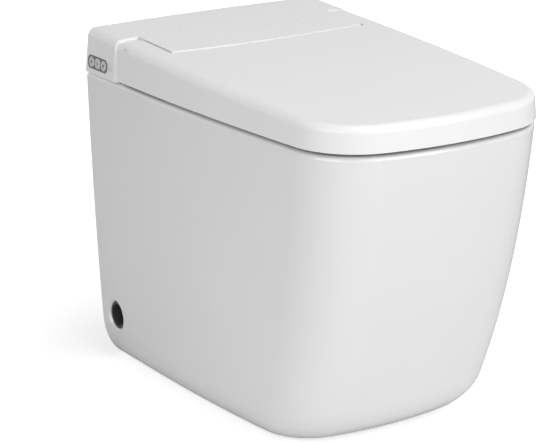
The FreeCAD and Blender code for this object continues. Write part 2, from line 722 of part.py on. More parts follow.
def crown(name, drop):
    """A huge cylinder whose top is the covers' shallow, sloping crown, lowered by drop."""
    barrel = doc.addObject("Part::Cylinder", name)
    slope = size("crown_slope")
    behind = 60
    barrel.Placement = FreeCAD.Placement(
        FreeCAD.Vector(0, 0, 0), FreeCAD.Rotation(FreeCAD.Vector(1, 0, 0), 90 + slope.value))
    radius = size("crown_radius")
    bind(barrel, "Placement.Rotation.Angle", slope + 90)
    bind(barrel, "Radius", radius - drop)
    bind(barrel, "Height", 800)
    bind(barrel, "Placement.Base.y", radius * sine(slope) + behind)
    bind(barrel, "Placement.Base.z",
         size("crown_height") + behind * sine(slope) / cosine(slope) - radius * cosine(slope))
    return barrel


def boolean(kind, name, base, tool):
    item = doc.addObject(f"Part::{kind}", name)
    item.Base = base
    item.Tool = tool
    return item


def round_edges(name, base, *rounds):
    """A Part fillet; each of rounds is a test for edges and a radius."""
    doc.recompute()
    item = doc.addObject("Part::Fillet", name)
    item.Base = base
    edges = []
    for wanted, radius in rounds:
        for number, edge in enumerate(base.Shape.Edges, start=1):
            if wanted(edge):
                edges.append((number, radius.value, radius.value))
    item.Edges = edges
    return item


def tongue_outline(sketch, grow, rear):
    """The tongue's plan, grown by grow on its free sides: straight sides and a bowed front."""
    half = size("tongue_half") + grow
    side = size("tongue_side") - grow
    sag = size("tongue_side") - size("tongue_front")
    bow = (half * half + sag * sag) / (2 * sag)
    profile(sketch, [(half, rear), (half, side), (-half, side), (-half, rear)], {1: (bow, -1)})


def housing_block(name, inset):
    """The rear housing before its top is cut: tapered cheeks and an upright tongue."""
    body = new_body(name)
    base = size("housing_base") - (1 if inset else 0)
    half = size("pan_half") + size("overhang") - inset
    cheeks = new_sketch(body, name + "_cheeks", "XY", base)
    rectangle(cheeks, -half, half, size("cheek_front") + inset, -as_size(inset))
    pad(body, cheeks, 80, taper=-size("cover_taper"))
    tongue = new_sketch(body, name + "_tongue", "XY", base)
    tongue_outline(tongue, -inset, size("cheek_front") + 20)
    pad(body, tongue, 80)
    return body


def side_top(edge):
    """A long edge between a cover's top and its left or right side."""
    box = edge.BoundBox
    return min(abs(box.XMin), abs(box.XMax)) > 180 and box.ZMin > 460 and box.YLength > 20


def rod_x(name, x0, x1, y, z, radius):
    """A cylinder along x."""
    rod = doc.addObject("Part::Cylinder", name)
    rod.Placement = FreeCAD.Placement(
        FreeCAD.Vector(0, 0, 0), FreeCAD.Rotation(FreeCAD.Vector(0, 1, 0), 90))
    bind(rod, "Radius", radius)
    bind(rod, "Height", as_size(x1) - x0)
    return place(rod, x0, y, z)


def rod_y(name, x, y0, y1, z, radius):
    """A cylinder along y, from y0 towards the user at y1."""
    rod = doc.addObject("Part::Cylinder", name)
    rod.Placement = FreeCAD.Placement(
        FreeCAD.Vector(0, 0, 0), FreeCAD.Rotation(FreeCAD.Vector(1, 0, 0), 90))
    bind(rod, "Radius", radius)
    bind(rod, "Height", as_size(y0) - y1)
    return place(rod, x, y0, z)


def rod_z(name, x, y, z0, z1, radius):
    """A cylinder along z."""
    rod = doc.addObject("Part::Cylinder", name)
    bind(rod, "Radius", radius)
    bind(rod, "Height", as_size(z1) - z0)
    return place(rod, x, y, z0)


def box(name, x0, x1, y0, y1, z0, z1):
    """A block between the given limits."""
    block = doc.addObject("Part::Box", name)
    bind(block, "Length", as_size(x1) - x0)
    bind(block, "Width", as_size(y1) - y0)
    bind(block, "Height", as_size(z1) - z0)
    return place(block, x0, y0, z0)


def place(item, x, y, z):
    """Put a primitive at a point of the wall frame."""
    PLACES[item.Name] = (x, y, z)
    for axis, value in zip("xyz", (x, y, z)):
        bind(item, f"Placement.Base.{axis}", value)
    return item


def group(name, *members):
    """Several items as one item that keeps them as separate solids."""
    item = doc.addObject("Part::Compound", name)
    item.Links = list(members)
    return item


def fused(name, *members):
    """Several items that touch, joined into one solid."""
    item = doc.addObject("Part::MultiFuse", name)
    item.Shapes = list(members)
    return item


def mirrored(name, source):
    """The source and its mirror image on the other side, as one group of two solids."""
    twin = doc.addObject("Part::Mirroring", name + "_twin")
    twin.Source = source
    twin.Normal = FreeCAD.Vector(1, 0, 0)
    return group(name, source, twin)


def turned(item, axis, angle, x, y, z):
    """Turn an item about an axis by an angle of the sheet and put it at a point."""
    item.Placement = FreeCAD.Placement(FreeCAD.Vector(0, 0, 0), FreeCAD.Rotation(axis, angle.value))
    bind(item, "Placement.Rotation.Angle", angle)
    return place(item, x, y, z)


def stadium(sketch, long, high, radius, middle=0):
    """A rectangle with rounded corners, its centre on the sketch's horizontal axis."""
    a, b = as_size(long) / 2, as_size(high) / 2
    r, m = as_size(radius), as_size(middle)
    profile(sketch, [(m + a - r, -b), (m + a, r - b), (m + a, b - r), (m + a - r, b),
                     (m + r - a, b), (m - a, b - r), (m - a, r - b), (m + r - a, -b)],
            {0: (r, 1), 2: (r, 1), 4: (r, 1), 6: (r, 1)})


# ---------------------------------------------------------------- rear housing


SCREW_SPOTS = ((-168, -20), (168, -20), (-120, -150), (120, -150))
BOSS_TOPS = (486.6, 486.6, 482, 482)


def cheek_front_edge(edge):
    """An edge round a cheek's front face, apart from its foot and its joint with the tongue."""
    box = edge.BoundBox
    front = box.YMax < -80 and box.YMin > -89
    outside = min(abs(box.XMin), abs(box.XMax)) > 151 and box.XLength + box.ZLength > 3
    corner = box.XLength < 0.1 and abs(abs(box.XMin) - 152) < 0.1
    return front and outside and not corner and box.ZMax > 428


def tongue_top_edge(edge):
    """The bowed edge at the top of the tongue's front."""
    box = edge.BoundBox
    return box.YMax < -150 and box.ZMin > 470 and box.XLength > 50


def panel_spot():
    """The middle of the control panel on the left cheek's leaning side."""
    lean = size("cover_taper")
    rise = size("panel_z") - size("housing_base")
    x = rise * sine(lean) / cosine(lean) - size("pan_half") - size("overhang")
    return x, size("panel_y"), size("panel_z")


def on_cheek(item):
    """Put an item drawn in the panel's frame (x inwards, z up the side) on the left cheek."""
    return turned(item, FreeCAD.Vector(0, 1, 0), size("cover_taper"), *panel_spot())


def panel_cutter(name):
    """The recesses for the control panel and for the status window, right through the wall."""
    recess = new_body(name)
    recess.AllowCompound = True
    outline = new_sketch(recess, name + "_plan", "YZ", -3)
    stadium(outline, size("panel_long") + 0.4, size("panel_high") + 0.4, size("panel_corner") + 0.2)
    pad(recess, outline, 12)
    eye = new_sketch(recess, name + "_eye", "YZ", -3)
    circle(eye, size("status_y") - size("panel_y"), size("status_rise"), size("status_radius") + 0.15)
    pad(recess, eye, 12)
    return on_cheek(recess)


def make_housing():
    """The rear housing: cheeks, tongue, crowned top, hollow inside, with its cut-outs."""
    wall = size("cover_wall")
    bend = size("cover_round")
    outer = boolean("Common", "housing_crowned", housing_block("housing_block", 0), crown("housing_crown", 0))
    outer = round_edges("housing_sides", outer, (side_top, bend))
    outer = round_edges("housing_fronts", outer, (cheek_front_edge, size("cheek_round")))
    outer = round_edges("housing_lip", outer, (tongue_top_edge, size("tongue_round")))
    core = boolean("Common", "housing_core_crowned", housing_block("housing_core", wall),
                   crown("housing_core_crown", wall))
    core = round_edges("housing_core_sides", core, (side_top, bend - wall))
    shell = boolean("Cut", "housing_shell", outer, core)
    bosses = [rod_z(f"housing_boss_{number}", x, y, size("plate_top") + 0.2, top, 4.5)
              for number, ((x, y), top) in enumerate(zip(SCREW_SPOTS, BOSS_TOPS))]
    shell = fused("housing_bossed", shell, *bosses)
    pilots = [rod_z(f"housing_pilot_{number}", x, y, size("plate_top"), 446, 1.8)
              for number, (x, y) in enumerate(SCREW_SPOTS)]
    pins = rod_x("housing_pin_hole", -170, 170, size("hinge_y"), size("hinge_z"), size("pin_radius") + 0.2)
    cutters = group("housing_cutters", pins, panel_cutter("panel_recess"), *pilots)
    return piece(boolean("Cut", "housing_pierced", shell, cutters), "rear_housing")


def panel_disc(name, label, middle, rise, radius, low, high):
    """A round piece in the panel's frame, middle along the panel and rise above its middle."""
    body = new_body(name)
    face = new_sketch(body, name + "_plan", "YZ", low)
    circle(face, middle, rise, radius)
    pad(body, face, as_size(high) - low)
    return piece(on_cheek(body), label)


def make_panel():
    """The control panel on the left cheek, with three push buttons and a status window."""
    body = new_body("panel_body")
    face = new_sketch(body, "panel_plan", "YZ", -0.2)
    stadium(face, size("panel_long"), size("panel_high"), size("panel_corner"))
    pad(body, face, 4.2)
    pitch, radius, play = size("button_pitch"), size("button_radius"), size("button_play")
    square, corner = size("button_square"), size("button_corner")
    holes = new_sketch(body, "panel_holes", "YZ", -1)
    circle(holes, pitch, 0, radius + play)
    circle(holes, -pitch, 0, radius + play)
    stadium(holes, square + play * 2, square + play * 2, corner + play)
    pocket(body, holes, 8, reverse=True)
    piece(on_cheek(body), "control_panel")
    proud = -size("button_proud") - 0.2
    panel_disc("button_rear", "button_rear", pitch, 0, radius, proud, 5)
    panel_disc("button_front", "button_front", -pitch, 0, radius, proud, 5)
    middle = new_body("button_middle")
    face = new_sketch(middle, "button_middle_plan", "YZ", proud)
    stadium(face, square, square, corner)
    pad(middle, face, 5 - proud)
    piece(on_cheek(middle), "button_middle")
    panel_disc("status_body", "status_window", size("status_y") - size("panel_y"), size("status_rise"),
               size("status_radius"), -0.1, 3)


# ---------------------------------------------------------------- lid


def plan_block(name, inset, low, high, rear, taper=None):
    """A block with the pan's plan, moved inwards by inset and cut off square at the rear."""
    body = new_body(name)
    outline = new_sketch(body, name + "_plan", "XY", low)
    bowed_outline(outline, plan(inset), -80)
    pad(body, outline, as_size(high) - low, taper=taper)
    if rear is not None:
        behind = new_sketch(body, name + "_rear", "XY", as_size(low) - 1)
        rectangle(behind, -230, 230, rear, -60)
        pocket(body, behind, as_size(high) - low + 2, reverse=True)
    return body


def notch_block(name, grow):
    """The room in the lid for the tongue, grown by grow."""
    body = new_body(name)
    notch = new_sketch(body, name + "_plan", "XY", 420)
    tongue_outline(notch, grow, -60)
    pad(body, notch, 100)
    return body


def tail_block(name):
    """What is cut off the lid behind the hinge, so that its tails clear the cheeks and the deck."""
    body = new_body(name)
    tail = new_sketch(body, name + "_side", "YZ")
    y, z = size("hinge_y"), size("hinge_z")
    reach, heel = size("lid_tail"), size("lid_heel")
    low = size("lid_base")
    heel_y = y + root(heel * heel - (z - low) * (z - low))
    heel_z = z - root(heel * heel - reach * reach)
    profile(tail, [(heel_y, low - 2), (heel_y, low), (y + reach, heel_z), (y + reach, z),
                   (y, z + reach), (y, 520), (-60, 520), (-60, low - 2)],
            {1: (heel, 1), 3: (reach, 1)})
    pad(body, tail, 500, both=True)
    return body


def lid_side_top(edge):
    """An edge between the lid's top and its skirt, along the sides, corners and nose."""
    box = edge.BoundBox
    along_side = min(abs(box.XMin), abs(box.XMax)) > 150 and box.YLength > 20
    nose = box.YMax < -480
    return box.ZMin > 455 and (along_side or nose)


def make_lid():
    """The lid's outer moulding: a crowned shell with two hollow arms beside the tongue."""
    wall = size("cover_wall")
    bend = size("cover_round")
    drop = size("lid_drop")
    over = size("overhang")
    low = size("lid_base")
    taper = -size("cover_taper")
    y, z = size("hinge_y"), size("hinge_z")
    outer = boolean("Common", "lid_crowned", plan_block("lid_block", -over, low, 510, None, taper),
                    crown("lid_crown", drop))
    outer = round_edges("lid_sides", outer, (lid_side_top, bend))
    outer = boolean("Cut", "lid_notched", outer, notch_block("lid_notch", size("lid_groove")))
    outer = boolean("Cut", "lid_tailed", outer, tail_block("lid_tail_cut"))
    core = boolean("Common", "lid_core_crowned", plan_block("lid_core", wall - over, low - 1, 510, None, taper),
                   crown("lid_core_crown", drop + wall))
    core = round_edges("lid_core_sides", core, (lid_side_top, bend - wall))
    core = boolean("Cut", "lid_core_notched", core, notch_block("lid_core_notch", size("lid_groove") + wall))
    keep = box("lid_tail_keep", size("ear_outer") + 2, 230, y + 12, -50, 400, 520)
    core = boolean("Cut", "lid_core_trimmed", core, mirrored("lid_tail_keeps", keep))
    shell = boolean("Cut", "lid_hollowed", outer, core)
    ribs = [box(f"lid_rib_{number}", -150, 150, rib_y - 1, rib_y + 1, size("liner_low") + size("liner_thick"), 520)
            for number, rib_y in enumerate((-260, -360, -460))]
    ribs = boolean("Common", "lid_ribs", outer, group("lid_rib_set", *ribs))
    boss = rod_x("lid_boss", size("ear_outer") + 2, 186, y, z, 10.5)
    shell = fused("lid_bossed", shell, ribs, mirrored("lid_bosses", boss))
    play = size("pin_play")
    bore = rod_x("lid_bore", -size("pin_end") - play, size("pin_end") + play, y, z, size("pin_radius") + play)
    return piece(boolean("Cut", "lid_bored", shell, bore), "lid_shell")


def make_liner():
    """The lid's flat inner moulding."""
    low = size("liner_low")
    body = plan_block("liner_body", size("liner_inset"), low, low + size("liner_thick"), size("seat_rear") + 3)
    return piece(body, "lid_liner")


# ---------------------------------------------------------------- seat


def seat_block(name, inset, low, high):
    """A ring with the seat's plan; inset makes its band narrower on both sides."""
    body = plan_block(name, size("seat_inset") + inset, low, high, size("seat_rear") - inset)
    hole = new_sketch(body, name + "_hole", "XY", as_size(low) - 1)
    oval(hole, size("bowl_y"), size("seat_hole_half") + inset, size("seat_hole_long") + inset,
         size("seat_hole_end") + inset)
    last = pocket(body, hole, as_size(high) - low + 2, reverse=True)
    return body, last


def seat_ear(body, name, offset):
    """One of the seat's arms, back from the ring and up to the hinge pin."""
    y, z = size("hinge_y"), size("hinge_z")
    knuckle = size("seat_knuckle")
    low, top = size("seat_low"), size("seat_split")
    start = size("seat_rear") - 8
    arm = new_sketch(body, name, "YZ", offset)
    profile(arm, [(start, low), (y - 25, low), (y + knuckle, z), (y, z + knuckle), (y - knuckle, z),
                  (y - 40, top), (start, top)], {2: (knuckle, 1), 3: (knuckle, 1)})
    pad(body, arm, size("ear_outer") - size("ear_inner"))


def make_seat():
    """The heated seat: a hollow upper moulding, the heater under its skin and a closing base."""
    split, top, skin = size("seat_split"), size("seat_top"), size("seat_skin")
    upper, last = seat_block("seat_upper", 0, split, top)
    corners = fillet(upper, last, lambda edge: edge.BoundBox.ZLength > 5 and edge.BoundBox.YMin > -205,
                     size("seat_corner"))
    fillet(upper, corners, lambda edge: edge.BoundBox.ZMin > top.value - 0.1, size("seat_round"))
    cavity, last = seat_block("seat_cavity", skin, split - 1, top - skin)
    piece(boolean("Cut", "seat_hollowed", upper, cavity), "seat_top")
    heater, last = seat_block("seat_heater_body", 10, top - skin - 1.2, top - skin - 0.2)
    piece(heater, "seat_heater")
    base, last = seat_block("seat_base_body", 0, size("seat_low"), split)
    fillet(base, last, lambda edge: edge.BoundBox.ZLength > 4 and edge.BoundBox.YMin > -205,
           size("seat_corner"))
    seat_ear(base, "seat_ear_right", size("ear_inner"))
    seat_ear(base, "seat_ear_left", -size("ear_outer"))
    bore = new_sketch(base, "seat_ear_bore", "YZ")
    circle(bore, size("hinge_y"), size("hinge_z"), size("pin_radius") + size("pin_play"))
    pocket(base, bore, 400, both=True)
    piece(base, "seat_base")


def rods_z(name, spots, z0, z1, radius):
    return [rod_z(f"{name}_{number}", x, y, z0, z1, radius) for number, (x, y) in enumerate(spots)]


def make_hinge():
    """Buffers under seat and lid, the hinge pins and the soft-close dampers on their axis."""
    rim_spots = ((-150, -262), (150, -262), (-112, -548), (112, -548))
    lid_spots = ((-148, -285), (148, -285), (-105, -530), (105, -530))
    y, z = size("hinge_y"), size("hinge_z")
    piece(group("seat_pads", *rods_z("seat_pad", rim_spots, size("pan_height") + 0.1, size("seat_low"), 8)),
          "seat_buffers")
    piece(group("lid_pads", *rods_z("lid_pad", lid_spots, size("seat_top") + 0.1, size("liner_low"), 6)),
          "lid_buffers")
    pin = rod_x("pin_rod", size("tongue_half") - 6, size("pin_end"), y, z, size("pin_radius"))
    piece(mirrored("pin_pair", pin), "hinge_pins")
    for side, label in ((-1, "seat_damper"), (1, "lid_damper")):
        start = size("tongue_half") * side - (6 if side > 0 else -6) - (42 if side > 0 else 0)
        piece(rod_x(label + "_rod", start, start + 42, y, z, 9), label)


# ---------------------------------------------------------------- base plate and its screws


def make_plate():
    """The plate that carries the seat unit on the deck, with its screws and bolts."""
    body = new_body("plate_body")
    low = size("pan_height")
    high = size("plate_top")
    outline = new_sketch(body, "plate_plan", "XY", low)
    profile(outline, [(-186, -4), (-186, -84), (-146, -84), (-146, -170), (-66, -170), (-66, -98),
                      (50, -98), (50, -170), (146, -170), (146, -84), (186, -84), (186, -4)])
    pad(body, outline, high - low)
    holes = new_sketch(body, "plate_holes", "XY", low - 1)
    for x, y in SCREW_SPOTS:
        circle(holes, x, y, 1.8)
    for side in (-1, 1):
        circle(holes, size("deck_bolt_x") * side, size("deck_bolt_y"), 4.3)
    circle(holes, size("inlet_x"), size("inlet_y"), 10.3)
    pocket(body, holes, 8, reverse=True)
    sinks = new_sketch(body, "plate_sinks", "XY", low - 1)
    for x, y in SCREW_SPOTS:
        circle(sinks, x, y, 3.8)
    pocket(body, sinks, 2.8, reverse=True)
    piece(body, "base_plate")
    screws = []
    for number, (x, y) in enumerate(SCREW_SPOTS):
        head = rod_z(f"screw_head_{number}", x, y, low + 0.2, low + 1.7, 3.4)
        shank = rod_z(f"screw_shank_{number}", x, y, low + 1.6, low + 18, 1.5)
        screws.append(fused(f"screw_{number}", head, shank))
    piece(group("screw_set", *screws), "housing_screws")
    bolts = []
    for number, side in enumerate((-1, 1)):
        x, y = size("deck_bolt_x") * side, size("deck_bolt_y")
        slab = low - size("rim_slab")
        bolts.append(fused(f"bolt_{number}", rod_z(f"bolt_shank_{number}", x, y, slab - 16, high + 1, 4),
                           rod_z(f"bolt_head_{number}", x, y, high, high + 5, 7),
                           rod_z(f"bolt_nut_{number}", x, y, slab - 10, slab - 0.1, 10)))
    piece(group("bolt_set", *bolts), "deck_bolts")


# ---------------------------------------------------------------- wands and their rack drive


def on_slope(along, above):
    """A point of the middle plane, given along the wands from their tips and above their axis."""
    angle = size("nozzle_angle")
    along, above = as_size(along), as_size(above)
    y = size("nozzle_y") + along * cosine(angle) - above * sine(angle)
    z = size("nozzle_z") + along * sine(angle) + above * cosine(angle)
    return y, z


def slope_frame(item, x=0, along=0, above=0):
    """Put an item drawn level onto the wands' slope."""
    y, z = on_slope(along, above)
    return turned(item, FreeCAD.Vector(1, 0, 0), size("nozzle_angle"), x, y, z)


def bar(body, name, x0, x1, z0, z1, y0, y1):
    """A straight bar along y of a body drawn in the slope's frame."""
    section = new_sketch(body, name, "XZ", -as_size(y1))
    rectangle(section, x0, x1, z0, z1)
    return pad(body, section, as_size(y1) - y0)


def rod(body, name, x, z, radius, y0, y1, cut=False):
    """A round bar along y of a body drawn in the slope's frame, or a round hole."""
    section = new_sketch(body, name, "XZ", -as_size(y1))
    circle(section, x, z, radius)
    if cut:
        return pocket(body, section, as_size(y1) - y0, reverse=True)
    return pad(body, section, as_size(y1) - y0)


def tooth(body, name, offset, base_half, tip_half, low, high, wide):
    """One tooth, symmetrical about the sketch's vertical axis, wide mm thick along x."""
    sketch = new_sketch(body, name, "YZ", offset)
    profile(sketch, [(-base_half, low), (base_half, low), (tip_half, high), (-tip_half, high)])
    return pad(body, sketch, wide), sketch


def make_wand(label, x):
    """A wand: tube with spray holes on top and a rack along its back."""
    body = new_body(label + "_body")
    radius = size("wand_radius")
    tube = rod(body, label + "_tube", x, 0, radius, 0, size("wand_length"))
    fillet(body, tube, lambda edge: edge.BoundBox.YMax < 0.1, as_size(2.5))
    rack_start = 10
    root_line = size("rack_line") - 1.1
    bar(body, label + "_rail", as_size(x) - 1.5, as_size(x) + 1.5, radius - 2, root_line,
        rack_start, size("wand_length") - 2)
    pitch = size("gear_module") * math.pi
    first = new_sketch(body, label + "_tooth", "YZ", as_size(x) - 1.5)
    middle = size("pinion_along") + pitch / 2
    low, high = root_line - 0.2, size("rack_line") + 0.75
    profile(first, [(middle - 0.85, low), (middle + 0.85, low), (middle + 0.35, high), (middle - 0.35, high)])
    one = pad(body, first, 3)
    doc.recompute()
    row = body.newObject("PartDesign::LinearPattern", label + "_teeth")
    row.Originals = [one]
    row.Direction = (first, ["H_Axis"])
    bind(row, "Length", pitch * 34)
    row.Occurrences = 35
    body.Tip = row
    jets = new_sketch(body, label + "_jets", "XY", 8)
    circle(jets, x, 4.4, 0.8)
    circle(jets, x, 7.2, 0.8)
    pocket(body, jets, 7)
    return piece(slope_frame(body), label)


def make_pinion(label, x, shaft_to):
    """A pinion with its shaft, drawn about its own axis."""
    body = new_body(label + "_body")
    disc = new_sketch(body, label + "_disc", "YZ", -4)
    module = size("gear_module")
    radius = module * 8
    circle(disc, 0, 0, radius - 1.3)
    pad(body, disc, 8)
    one, first = tooth(body, label + "_tooth", -4, 1.0, 0.35, radius - 1.6, radius + 0.75, 8)
    doc.recompute()
    ring = body.newObject("PartDesign::PolarPattern", label + "_teeth")
    ring.Originals = [one]
    ring.Axis = (first, ["N_Axis"])
    ring.Angle = 360
    ring.Occurrences = 16
    body.Tip = ring
    shaft = new_sketch(body, label + "_shaft", "YZ", min(shaft_to, 0))
    circle(shaft, 0, 0, 2)
    pad(body, shaft, abs(shaft_to))
    return piece(slope_frame(body, x, size("pinion_along"), size("rack_line") + radius), label)


def make_nozzles():
    """The cassette: tray with guide, two wands, pinions, motors and the bezel in the chute."""
    left, right = -28, -8
    tray = new_body("tray_body")
    bar(tray, "tray_floor", -40, 4, -10.5, -8, 4, 140)
    bar(tray, "tray_left", -40, -37.5, -10.5, 8, 4, 140)
    bar(tray, "tray_right", 1.5, 4, -10.5, 8, 4, 140)
    bar(tray, "tray_guide", -40, 4, -10.5, 12, 4, 10)
    bar(tray, "tray_cheek_left", -40, -37.5, 7, 34, 4, 30)
    bar(tray, "tray_cheek_right", 1.5, 4, 7, 34, 4, 30)
    for number, x in enumerate((left, right)):
        rod(tray, f"tray_bore_{number}", x, 0, size("wand_radius") + 0.3, 3, 12, cut=True)
        slot = new_sketch(tray, f"tray_slot_{number}", "XZ", -12)
        rectangle(slot, x - 1.8, x + 1.8, 3, 13)
        pocket(tray, slot, 9, reverse=True)
    axle = new_sketch(tray, "tray_axle", "YZ", -45)
    circle(axle, size("pinion_along"), size("rack_line") + size("gear_module") * 8, 2.5)
    pocket(tray, axle, 60, reverse=True)
    slope_frame(tray)
    foot = box("tray_foot", -40, 4, -72, -66, size("plate_top") + 0.1, 446.3)
    piece(fused("tray_on_foot", tray, foot), "nozzle_tray")
    make_wand("nozzle_rear", left)
    make_wand("nozzle_front", right)
    make_pinion("pinion_rear", left, -18)
    make_pinion("pinion_front", right, 18)
    y, z = on_slope(size("pinion_along"), size("rack_line") + size("gear_module") * 8)
    for label, x0, x1, hole0, hole1 in (("nozzle_motor_rear", -60, -40.1, -47, -40),
                                        ("nozzle_motor_front", 4.1, 22, 4, 11)):
        can = rod_x(label + "_can", x0, x1, y, z, 12)
        hole = rod_x(label + "_hole", hole0, hole1, y, z, 2.3)
        piece(boolean("Cut", label + "_bored", can, hole), label)
    bezel = new_body("bezel_body")
    face = new_sketch(bezel, "bezel_face", "XZ", 0.5)
    rectangle(face, -43, 21, -10.5, 16.5)
    pad(bezel, face, 2.5)
    for number, x in enumerate((left, right)):
        rod(bezel, f"bezel_bore_{number}", x, 0, size("wand_radius") + 0.8, -4, 0, cut=True)
        slot = new_sketch(bezel, f"bezel_slot_{number}", "XZ", 0)
        rectangle(slot, x - 2, x + 2, 3, 14.3)
        pocket(bezel, slot, 4, reverse=True)
    piece(slope_frame(bezel), "nozzle_bezel")


# ---------------------------------------------------------------- warm-air dryer


def make_dryer():
    """Fan housing, impeller, motor, duct and the flap at the duct's mouth."""
    y, z = size("fan_y"), size("fan_z")
    duct = new_body("duct_body")
    bar(duct, "duct_outer", 24, 42, -9, 9, 6, 100)
    inner = new_sketch(duct, "duct_inner", "XZ", -101)
    rectangle(inner, 25.5, 40.5, -7.5, 7.5)
    pocket(duct, inner, 100, reverse=True)
    flap_along, flap_above = 4.6, 9
    bar(duct, "flap_lug_left", 22, 24.2, flap_above - 2.5, flap_above + 2.5, flap_along - 2, 12)
    bar(duct, "flap_lug_right", 41.8, 44, flap_above - 2.5, flap_above + 2.5, flap_along - 2, 12)
    pivot = new_sketch(duct, "flap_pivot", "YZ", 20)
    circle(pivot, flap_along, flap_above, 1.2)
    pocket(duct, pivot, 26, reverse=True)
    slope_frame(duct)
    drum = rod_x("fan_drum", 14, 44, y, z, 23)
    piece(boolean("Cut", "duct_trimmed", duct, drum), "dryer_duct")
    inside = rod_x("fan_inside", 16, 42, y, z, 21)
    shell = boolean("Cut", "fan_shell", drum, inside)
    foot = box("fan_foot", 16, 42, -66, -50, size("plate_top") + 0.1, 434.5)
    mouth = new_body("fan_mouth")
    bar(mouth, "fan_mouth_bar", 26, 40, -7, 7, 70, 112)
    slope_frame(mouth)
    eye = rod_x("fan_eye", 10, 20, y, z, 12)
    axle = rod_x("fan_axle", 40, 50, y, z, 3)
    openings = group("fan_openings", mouth, eye, axle)
    piece(boolean("Cut", "fan_open", fused("fan_footed", shell, foot), openings), "dryer_housing")
    wheel = new_body("wheel_body")
    back = new_sketch(wheel, "wheel_back", "YZ", 18)
    circle(back, 0, 0, 18)
    pad(wheel, back, 2)
    hub = new_sketch(wheel, "wheel_hub", "YZ", 0)
    circle(hub, 0, 0, 4)
    pad(wheel, hub, 19)
    one, first = tooth(wheel, "wheel_blade", 1, 0.7, 0.7, 10, 17.6, 18)
    doc.recompute()
    ring = wheel.newObject("PartDesign::PolarPattern", "wheel_blades")
    ring.Originals = [one]
    ring.Axis = (first, ["N_Axis"])
    ring.Angle = 360
    ring.Occurrences = 14
    wheel.Tip = ring
    shaft = new_sketch(wheel, "wheel_shaft", "YZ", 19)
    circle(shaft, 0, 0, 2)
    pad(wheel, shaft, 12)
    piece(place(wheel, 19, y, z), "dryer_impeller")
    can = rod_x("fan_motor_can", 44.1, 66, y, z, 14)
    piece(boolean("Cut", "fan_motor", can, rod_x("fan_motor_hole", 44, 53, y, z, 2.4)), "dryer_motor")
    flap = new_body("flap_body")
    bar(flap, "flap_plate", 24.5, 41.5, -17.5, 0, -0.6, 0.6)
    pin = new_sketch(flap, "flap_pin", "YZ", 22.2)
    circle(pin, 0, 0, 1)
    pad(flap, pin, 21.6)
    piece(slope_frame(flap, 0, flap_along, flap_above), "dryer_flap")


# ---------------------------------------------------------------- water, power and control


def tube_x(name, x0, x1, y, z, radius, bore):
    return boolean("Cut", name, rod_x(name + "_outer", x0, x1, y, z, radius),
                   rod_x(name + "_bore", as_size(x0) - 1, as_size(x1) + 1, y, z, bore))


def make_water():
    """Inlet, valve, heater and hoses of the seat unit, and the flush valve with its pipe."""
    plate = size("plate_top")
    x, y = size("inlet_x"), size("inlet_y")
    low, thread = size("inlet_low"), size("inlet_thread")
    neck = rod_z("inlet_neck", x, y, low, plate - 0.2, size("inlet_radius"))
    trunk = rod_z("inlet_trunk", x, y, low + thread, 420, 12)
    collar = rod_z("inlet_collar", x, y, 420, 425.9, 14)
    core = rod_z("inlet_core", x, y, low - 1, 424, 6.5)
    piece(boolean("Cut", "inlet_bored", fused("inlet_outer", neck, trunk, collar), core), "inlet_connector")
    block = box("valve_block", x - 12, x + 12, -82, -42, plate + 0.1, plate + 16)
    coil = rod_z("valve_coil", x, y - 8, plate + 15, plate + 24, 9)
    piece(fused("valve_body", block, coil), "solenoid_valve")
    jacket = rod_x("heater_jacket", -150, -84, -50, 458, 17)
    caps = [rod_x("heater_cap_left", -154, -149, -50, 458, 18.5), rod_x("heater_cap_right", -85, -80, -50, 458, 18.5)]
    foot = box("heater_foot", -136, -98, -60, -40, plate + 0.1, 445)
    piece(fused("heater_body", jacket, *caps, foot), "water_heater")
    piece(tube_x("heater_tube", -79.9, -40.1, -48, 461, 4, 2.5), "heater_hose")
    valve = rod_z("flush_body", 0, -60, 400, 425.9, 20)
    cap = rod_z("flush_cap", 0, -60, 408, 416, 24)
    piece(fused("flush_shape", valve, cap), "flush_valve")
    piece(tube_x("supply_tube", x + 12.1, -24.1, y, 412, 6, 4), "supply_hose")
    pipe = new_body("flush_pipe_body")
    for name, radius, cut in (("flush_wall", 12.5, False), ("flush_bore", 10.5, True)):
        section = new_sketch(pipe, name, "XY", 399.9)
        circle(section, 0, -60, radius)
        route = new_sketch(pipe, name + "_route", "YZ")
        flush_route(route)
        sweep(pipe, section, route, cut)
    piece(pipe, "flush_pipe")
    end = size("spud_end")
    ring = rod_y("seal_ring", 0, end + 6, end + 0.1, size("spud_height"), 20)
    hole = rod_y("seal_hole", 0, end + 7, end - 1, size("spud_height"), 12.6)
    piece(boolean("Cut", "seal_cut", ring, hole), "spud_seal")


def flush_route(sketch):
    """Down from the flush valve, round a bend and forward into the spud."""
    bend = 30
    z = size("spud_height")
    corners = [(as_size(-60), as_size(399.9)), (as_size(-60), z + bend), (as_size(-60 - bend), z),
               (size("spud_end") - 20, z)]
    spots = [FreeCAD.Vector(y.value, height.value, 0) for y, height in corners]
    sketch.addGeometry([Part.LineSegment(spots[0], spots[1]), arc_between(spots[1], spots[2], bend, -1),
                        Part.LineSegment(spots[2], spots[3])])
    ends = [(0, 1), (1, 2), (2, 1), (2, 2)]
    sketch.addConstraint(Sketcher.Constraint("Coincident", 0, 2, 1, 2))
    sketch.addConstraint(Sketcher.Constraint("Coincident", 1, 1, 2, 1))
    for (number, end), (y, height) in zip(ends, corners):
        drive(sketch, "DistanceX", -1, 1, number, end, y)
        drive(sketch, "DistanceY", -1, 1, number, end, height)
    drive(sketch, "Radius", 1, bend)


